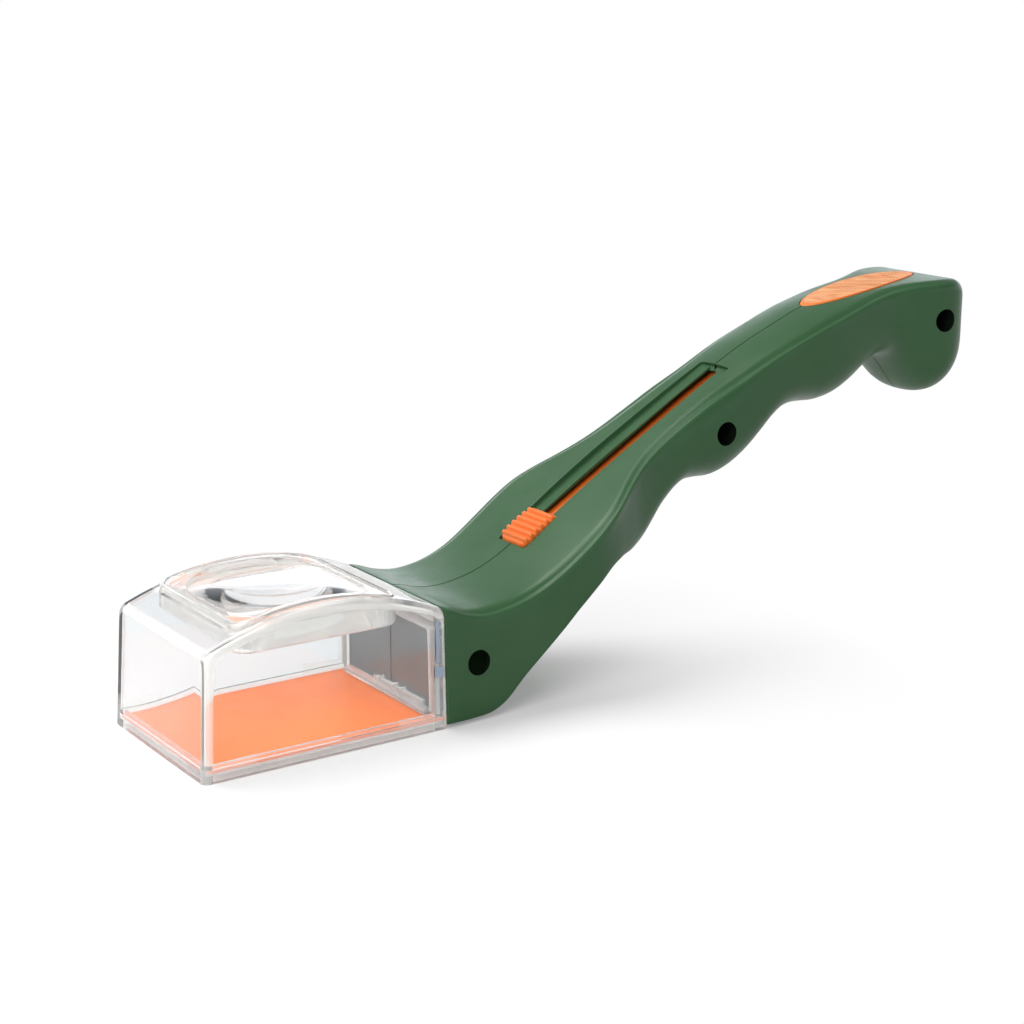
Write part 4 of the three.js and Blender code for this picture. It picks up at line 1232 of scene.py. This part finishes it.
def grip_plastic():
    """The pad's plastic: pale orange with wavy salmon lines inside a saturated rim."""
    material, tree, shader = base_material(
        "grip_moulding", {"Roughness": 0.5, "Specular IOR Level": 0.3})

    def sums(operation, *values):
        return maths(tree, operation, *values)

    def share_squared(value, half):
        return sums("POWER", sums("ABSOLUTE", sums("DIVIDE", value, half)), 2)

    place = node(tree, "ShaderNodeTexCoord")
    parts = node(tree, "ShaderNodeSeparateXYZ")
    tree.links.new(place.outputs["Object"], parts.inputs[0])
    centre = FRONT_X + (JOINT_X + PAD_CENTRE) * MM
    x = sums("MULTIPLY", sums("SUBTRACT", parts.outputs["X"], centre), 1 / MM)
    y = sums("MULTIPLY", parts.outputs["Y"], 1 / MM)
    reach = sums("SQRT", sums(
        "ADD", share_squared(x, PAD_HALF_LENGTH), share_squared(y, PAD_HALF_WIDTH)))
    rim = node(tree, "ShaderNodeMapRange", {
        "From Min": PAD_RIM_FROM - 0.01, "From Max": PAD_RIM_FROM + 0.015,
    })
    pitch, height = PAD_SLOW_WAVE
    slow = sums("MULTIPLY", sums("SINE", sums("MULTIPLY", x, pitch)), height)
    pitch, height = PAD_QUICK_WAVE
    quick = sums("MULTIPLY", sums("SINE", sums("ADD", sums("MULTIPLY", x, pitch), y)), height)
    across = sums("ADD", y, sums("ADD", slow, quick))
    wave = sums("SINE", sums("MULTIPLY", across, 2 * math.pi / PAD_LINE_PITCH))
    lines = node(tree, "ShaderNodeMapRange", {"From Min": -0.35, "From Max": 0.75})
    ramp = colour_ramp(tree, PAD_COLOUR, PAD_LINE_COLOUR)
    tree.links.new(reach, rim.inputs["Value"])
    tree.links.new(wave, lines.inputs["Value"])
    colour = node(tree, "ShaderNodeMix", data_type="RGBA")
    sockets = {socket.name: socket for socket in colour.inputs if socket.type == "RGBA"}
    sockets["B"].default_value = PAD_RIM_COLOUR
    tree.links.new(ramp.outputs["Color"], sockets["A"])
    result = next(socket for socket in colour.outputs if socket.type == "RGBA")
    tree.links.new(result, shader.inputs["Base Color"])
    fine = node(tree, "ShaderNodeTexNoise", {"Scale": 1400, "Detail": 3})
    inside = sums("SUBTRACT", 1, rim.outputs["Result"])
    height = sums("ADD", sums("MULTIPLY", wave, inside), fine.outputs["Fac"])
    relief = node(tree, "ShaderNodeBump", {"Strength": 0.35, "Distance": 0.0002})
    tree.links.new(height, relief.inputs["Height"])
    wire(
        tree, (lines, "Result", ramp, "Fac"), (rim, "Result", colour, 0),
        (place, "Object", fine, "Vector"), (relief, "Normal", shader, "Normal"))
    return material


# Each plastic: colour, darkest and lightest mottling, roughness
GREEN = moulded_plastic(
    "green_moulding", (0.027, 0.077, 0.03), (0.024, 0.071, 0.027), (0.031, 0.084, 0.034), 0.34,
    specular=0.2)
# Painted shade: near-black green on the insides of the screw wells, standing for the shadow deep in them
WELL_PAINTED_SHADE = moulded_plastic(
    "green_well_painted_shade", (0.002, 0.004, 0.002), (0.0015, 0.003, 0.0015), (0.0025, 0.005, 0.0025), 0.7,
    specular=0.1)
ORANGE = moulded_plastic(
    "orange_moulding", (0.64, 0.13, 0.018), (0.6, 0.118, 0.015), (0.68, 0.145, 0.022), 0.38,
    specular=0.3)
DOOR = moulded_plastic(
    "door_sheet", (0.78, 0.16, 0.022), (0.74, 0.148, 0.018), (0.82, 0.175, 0.027), 0.4,
    bump=0.03, specular=0.25)
GRIP = grip_plastic()
STEEL = moulded_plastic(
    "zinc_steel", (0.3, 0.3, 0.3), (0.24, 0.24, 0.24), (0.36, 0.36, 0.36), 0.35, Metallic=1.0)
SMOKY = moulded_plastic(
    "smoky_moulding", (0.3, 0.45, 0.48), (0.285, 0.43, 0.46), (0.32, 0.475, 0.505), 0.07,
    bump=0.01, IOR=1.8)
POCKET_GREY = moulded_plastic(
    "pocket_grey", (0.25, 0.3, 0.38), (0.23, 0.28, 0.36), (0.27, 0.32, 0.4), 0.2, bump=0.01)
DARK_SMOKY = moulded_plastic(
    "smoky_moulding_dark", (0.11, 0.135, 0.14), (0.1, 0.125, 0.13), (0.12, 0.145, 0.15), 0.12,
    bump=0.01)
CLEAR = clear_plastic("clear_moulding", (0.92, 0.94, 0.95), 0.0)
# Half-clear plastic with a pale colour; on the chamber's foot band it is painted glow over the shaded
# floor seen through it
CLEAR_HAZE_AND_PAINTED_GLOW = clear_plastic("clear_moulding_haze_and_painted_glow", (0.95, 0.94, 0.92), 0.06, clearness=0.82)
# Painted glow: pale, less clear plastic on the chamber's rounded corners, standing for the bright bands
# that light makes in them
CLEAR_EDGE_PAINTED_GLOW = clear_plastic("clear_moulding_edge_painted_glow", (0.82, 0.82, 0.8), 0.1, clearness=0.7)
LENS = clear_plastic("lens_moulding", (0.975, 0.98, 0.985), 0.0, bump=0.0)

# Tests of a face, from its place in millimetres and its normal
EDGE_TILT = 0.09
ROOF_TILT = 0.88
STEEP = 0.6
FOOT_TOP = RAIL_TOP + 0.2


def on_edge_painted_glow(place, normal):
    """Faces of the chamber's upright corners and shoulders, which get painted glow: a pale, less clear
    plastic in place of the bright bands that light makes there.
    """
    tilted = sum(abs(n) > EDGE_TILT for n in normal) >= 2
    roof = abs(normal.z) > ROOF_TILT and abs(normal.y) < EDGE_TILT
    corner = abs(normal.z) < EDGE_TILT
    return tilted and not roof and (corner or place.z >= FOOT_TOP)


def on_haze_and_painted_glow(place, normal):
    """Faces of the rear flange and lens socket, which look half clear; on the foot band the pale haze is
    painted glow that lightens the shaded floor seen through the glass.
    """
    flange = place.x > CHAMBER_LENGTH - FLANGE - 0.2 and place.z > 1
    reach = max(abs(place.x - LENS_CENTRE), abs(place.y))
    steep = abs(normal.z) < STEEP
    socket = reach < BEZEL_HALF + 0.2 and place.z > SOCKET_BOTTOM - 0.3 and steep
    frame_ring = BEZEL_HALF - 3 < reach < BEZEL_HALF + 0.3 and place.z > WALL_HEIGHT
    # Painted glow: the pale haze on the foot band stands for light, over the shaded floor that the glass
    # shows
    foot = place.z < FOOT_TOP and steep
    return flange or socket or frame_ring or foot


def on_well_painted_shade(place, normal):
    """The insides of the three screw wells, which get the near-black green of painted shade."""
    side = handle_form(min(max(place.x - JOINT_X, 0), HANDLE_LENGTH))["side"]
    for x, z in SCREWS.values():
        near = math.hypot(place.x - JOINT_X - x, place.z - z) < SCREW_RECESS_RADIUS + 0.02
        inside = -side + 0.4 < place.y < -SCREW_SEAT_Y + 0.1
        around = abs(normal.y) < 0.5 and place.y < -SCREW_SEAT_Y
        if near and (inside or around):
            return True
    return False


def on_skirt(place, normal):
    """Upright faces of the lens moulding, and its corners outside the round lens."""
    return abs(normal.z) < STEEP or math.hypot(place.x - LENS_CENTRE, place.y) > LENS_ROUND


# Stage
BACKGROUND_FADE_START = 0.08
BACKGROUND_FADE_END = 0.2
SHADOW_CENTRE = (-0.11, 0, 0)
PAPER_GLOW = 0.22
HORIZON_LIGHT = 2.1
ZENITH_LIGHT = 0.42
NEAR_SIDE_LIGHT = 0.75
ROOM_LIGHT = 0.55
MIRRORED_COLOUR = (0.94, 1, 1.06, 1)
PAPER_COLOUR = (0.68, 0.68, 0.68, 1)
WHITE = (1, 1, 1, 1)
FLOOR_HALF = 4000
FLOOR_DROP = 0.0002

# Lamps: place, aim, size and watts
LAMPS = {
    "overhead": ((-0.3, 0.45, 1.05), (0, 0, 0.05), 0.8, 12.8),
    "fill": ((-0.9, -0.5, 0.6), (0, 0, 0.04), 0.7, 8.0),
}


def any_ray(tree, path, first, *others):
    """One where the ray is of any of these kinds."""
    seen = path.outputs[first]
    for name in others:
        seen = maths(tree, "MAXIMUM", seen, path.outputs[name])
    return seen


def make_floor():
    """Pale paper that takes the shadow near the object, and fades to plain white around it."""
    half = FLOOR_HALF
    corners = [(-half, -half, 0), (half, -half, 0), (half, half, 0), (-half, half, 0)]
    floor = new_object("floor", corners, [[0, 1, 2, 3]])
    floor.data.transform(Matrix.Translation((0, 0, -FLOOR_DROP)) @ Matrix.Scale(MM, 4))
    material = bpy.data.materials.new("paper")
    tree = blank_tree(material)
    out = node(tree, "ShaderNodeOutputMaterial")
    paper = node(tree, "ShaderNodeBsdfDiffuse", {"Color": PAPER_COLOUR})
    glow = node(tree, "ShaderNodeEmission", {"Color": WHITE, "Strength": 1.0})
    path = node(tree, "ShaderNodeLightPath")
    place = node(tree, "ShaderNodeTexCoord")
    offset = node(tree, "ShaderNodeVectorMath", operation="SUBTRACT")
    offset.inputs[1].default_value = SHADOW_CENTRE
    away = node(tree, "ShaderNodeVectorMath", operation="LENGTH")
    fade = node(tree, "ShaderNodeMapRange", {
        "From Min": BACKGROUND_FADE_START, "From Max": BACKGROUND_FADE_END,
        "To Min": PAPER_GLOW, "To Max": 1.0,
    })
    blend = node(tree, "ShaderNodeMixShader")
    seen = any_ray(tree, path, "Is Camera Ray", "Is Glossy Ray", "Is Transmission Ray")
    share = maths(tree, "MULTIPLY", seen, fade.outputs["Result"])
    tree.links.new(share, blend.inputs["Fac"])
    wire(
        tree, (place, "Object", offset, 0), (offset, 0, away, 0), (away, "Value", fade, "Value"),
        (paper, "BSDF", blend, 1), (glow, "Emission", blend, 2), (blend, "Shader", out, "Surface"))
    floor.data.materials.append(material)


def make_world():
    """White to the camera and through clear pieces; reflections see a brighter horizon."""
    world = bpy.data.worlds.new("studio")
    bpy.context.scene.world = world
    tree = blank_tree(world)
    out = node(tree, "ShaderNodeOutputWorld")
    dim = node(tree, "ShaderNodeBackground", {"Color": WHITE, "Strength": ROOM_LIGHT})
    mirrored = node(tree, "ShaderNodeBackground", {"Color": MIRRORED_COLOUR})
    white = node(tree, "ShaderNodeBackground", {"Color": WHITE, "Strength": 1.0})
    place = node(tree, "ShaderNodeTexCoord")
    height = node(tree, "ShaderNodeSeparateXYZ")
    fade = node(tree, "ShaderNodeMapRange", {
        "From Min": 0.26, "From Max": 0.48, "To Min": HORIZON_LIGHT, "To Max": ZENITH_LIGHT,
    })
    side = node(tree, "ShaderNodeMapRange", {
        "From Min": -0.5, "From Max": 0.2, "To Min": NEAR_SIDE_LIGHT, "To Max": 1.0,
    })
    path = node(tree, "ShaderNodeLightPath")
    first = node(tree, "ShaderNodeMixShader")
    second = node(tree, "ShaderNodeMixShader")
    strength = maths(tree, "MULTIPLY", fade.outputs["Result"], side.outputs["Result"])
    tree.links.new(strength, mirrored.inputs["Strength"])
    seen = any_ray(tree, path, "Is Camera Ray", "Is Transmission Ray")
    tree.links.new(seen, second.inputs["Fac"])
    wire(
        tree, (place, "Generated", height, 0), (height, "Z", fade, "Value"),
        (height, "Y", side, "Value"), (path, "Is Glossy Ray", first, "Fac"),
        (dim, "Background", first, 1), (mirrored, "Background", first, 2),
        (first, "Shader", second, 1), (white, "Background", second, 2),
        (second, "Shader", out, "Surface"))


def lamp(name, place, aim, size, watts):
    data = bpy.data.lights.new(name, "AREA")
    data.shape = "DISK"
    data.size = size
    data.energy = watts
    away = Vector(place) - Vector(aim)
    add_object(name, data, place, away.to_track_quat("Z", "Y"))


make_camera()
bpy.context.scene.view_settings.view_transform = "Standard"
make_floor()
make_world()
for lamp_name, values in LAMPS.items():
    lamp(lamp_name, *values)

settle(
    half_shell("left_shell_skin", -1), GREEN, "root", ["left_shell"],
    trims=[(WELL_PAINTED_SHADE, on_well_painted_shade)])
settle(half_shell("right_shell_skin", 1), GREEN, "root", ["right_shell"])
settle(grip_pad(), GRIP, "root", ["grip_pad"])
settle(thumb_button(), ORANGE, "thumb", ["thumb_button"])
settle(
    soften(slope_block(
        "slide_carriage_plate", *CARRIAGE_SPAN, CARRIAGE_HALF, CARRIAGE_BOTTOM, CARRIAGE_TOP), 0.15),
    ORANGE, "thumb", ["slide_carriage"])
settle(
    soften(slope_block(
        "slide_track_strip", *TRACK_SPAN, TRACK_HALF, TRACK_BOTTOM, TRACK_TOP, TRACK_DROP), 0.25),
    ORANGE, "root", ["slide_track"])
for screw_name, (screw_x, screw_z) in SCREWS.items():
    settle(screw(screw_name + "_turned", screw_x, screw_z), STEEL, "root", [screw_name])
settle(
    chamber_shell(), CLEAR, "root", ["chamber"],
    trims=[(CLEAR_EDGE_PAINTED_GLOW, on_edge_painted_glow), (CLEAR_HAZE_AND_PAINTED_GLOW, on_haze_and_painted_glow)])
settle(
    magnifier(), LENS, "root", ["magnifier_lens"],
    trims=[(CLEAR_HAZE_AND_PAINTED_GLOW, on_skirt)])
wall, *wall_place = back_wall()
settle(wall, SMOKY, "root", ["chamber_back_wall"], trims=[(DARK_SMOKY, on_ridge)])
settle(flange_inlays(), POCKET_GREY, "root")
settle(guide_bar(*wall_place), CLEAR_HAZE_AND_PAINTED_GLOW, "root")
panel = settle(door_panel(), DOOR, "door", ["trap_door"])
settle(door_tongue(), DOOR, "root")
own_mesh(panel)
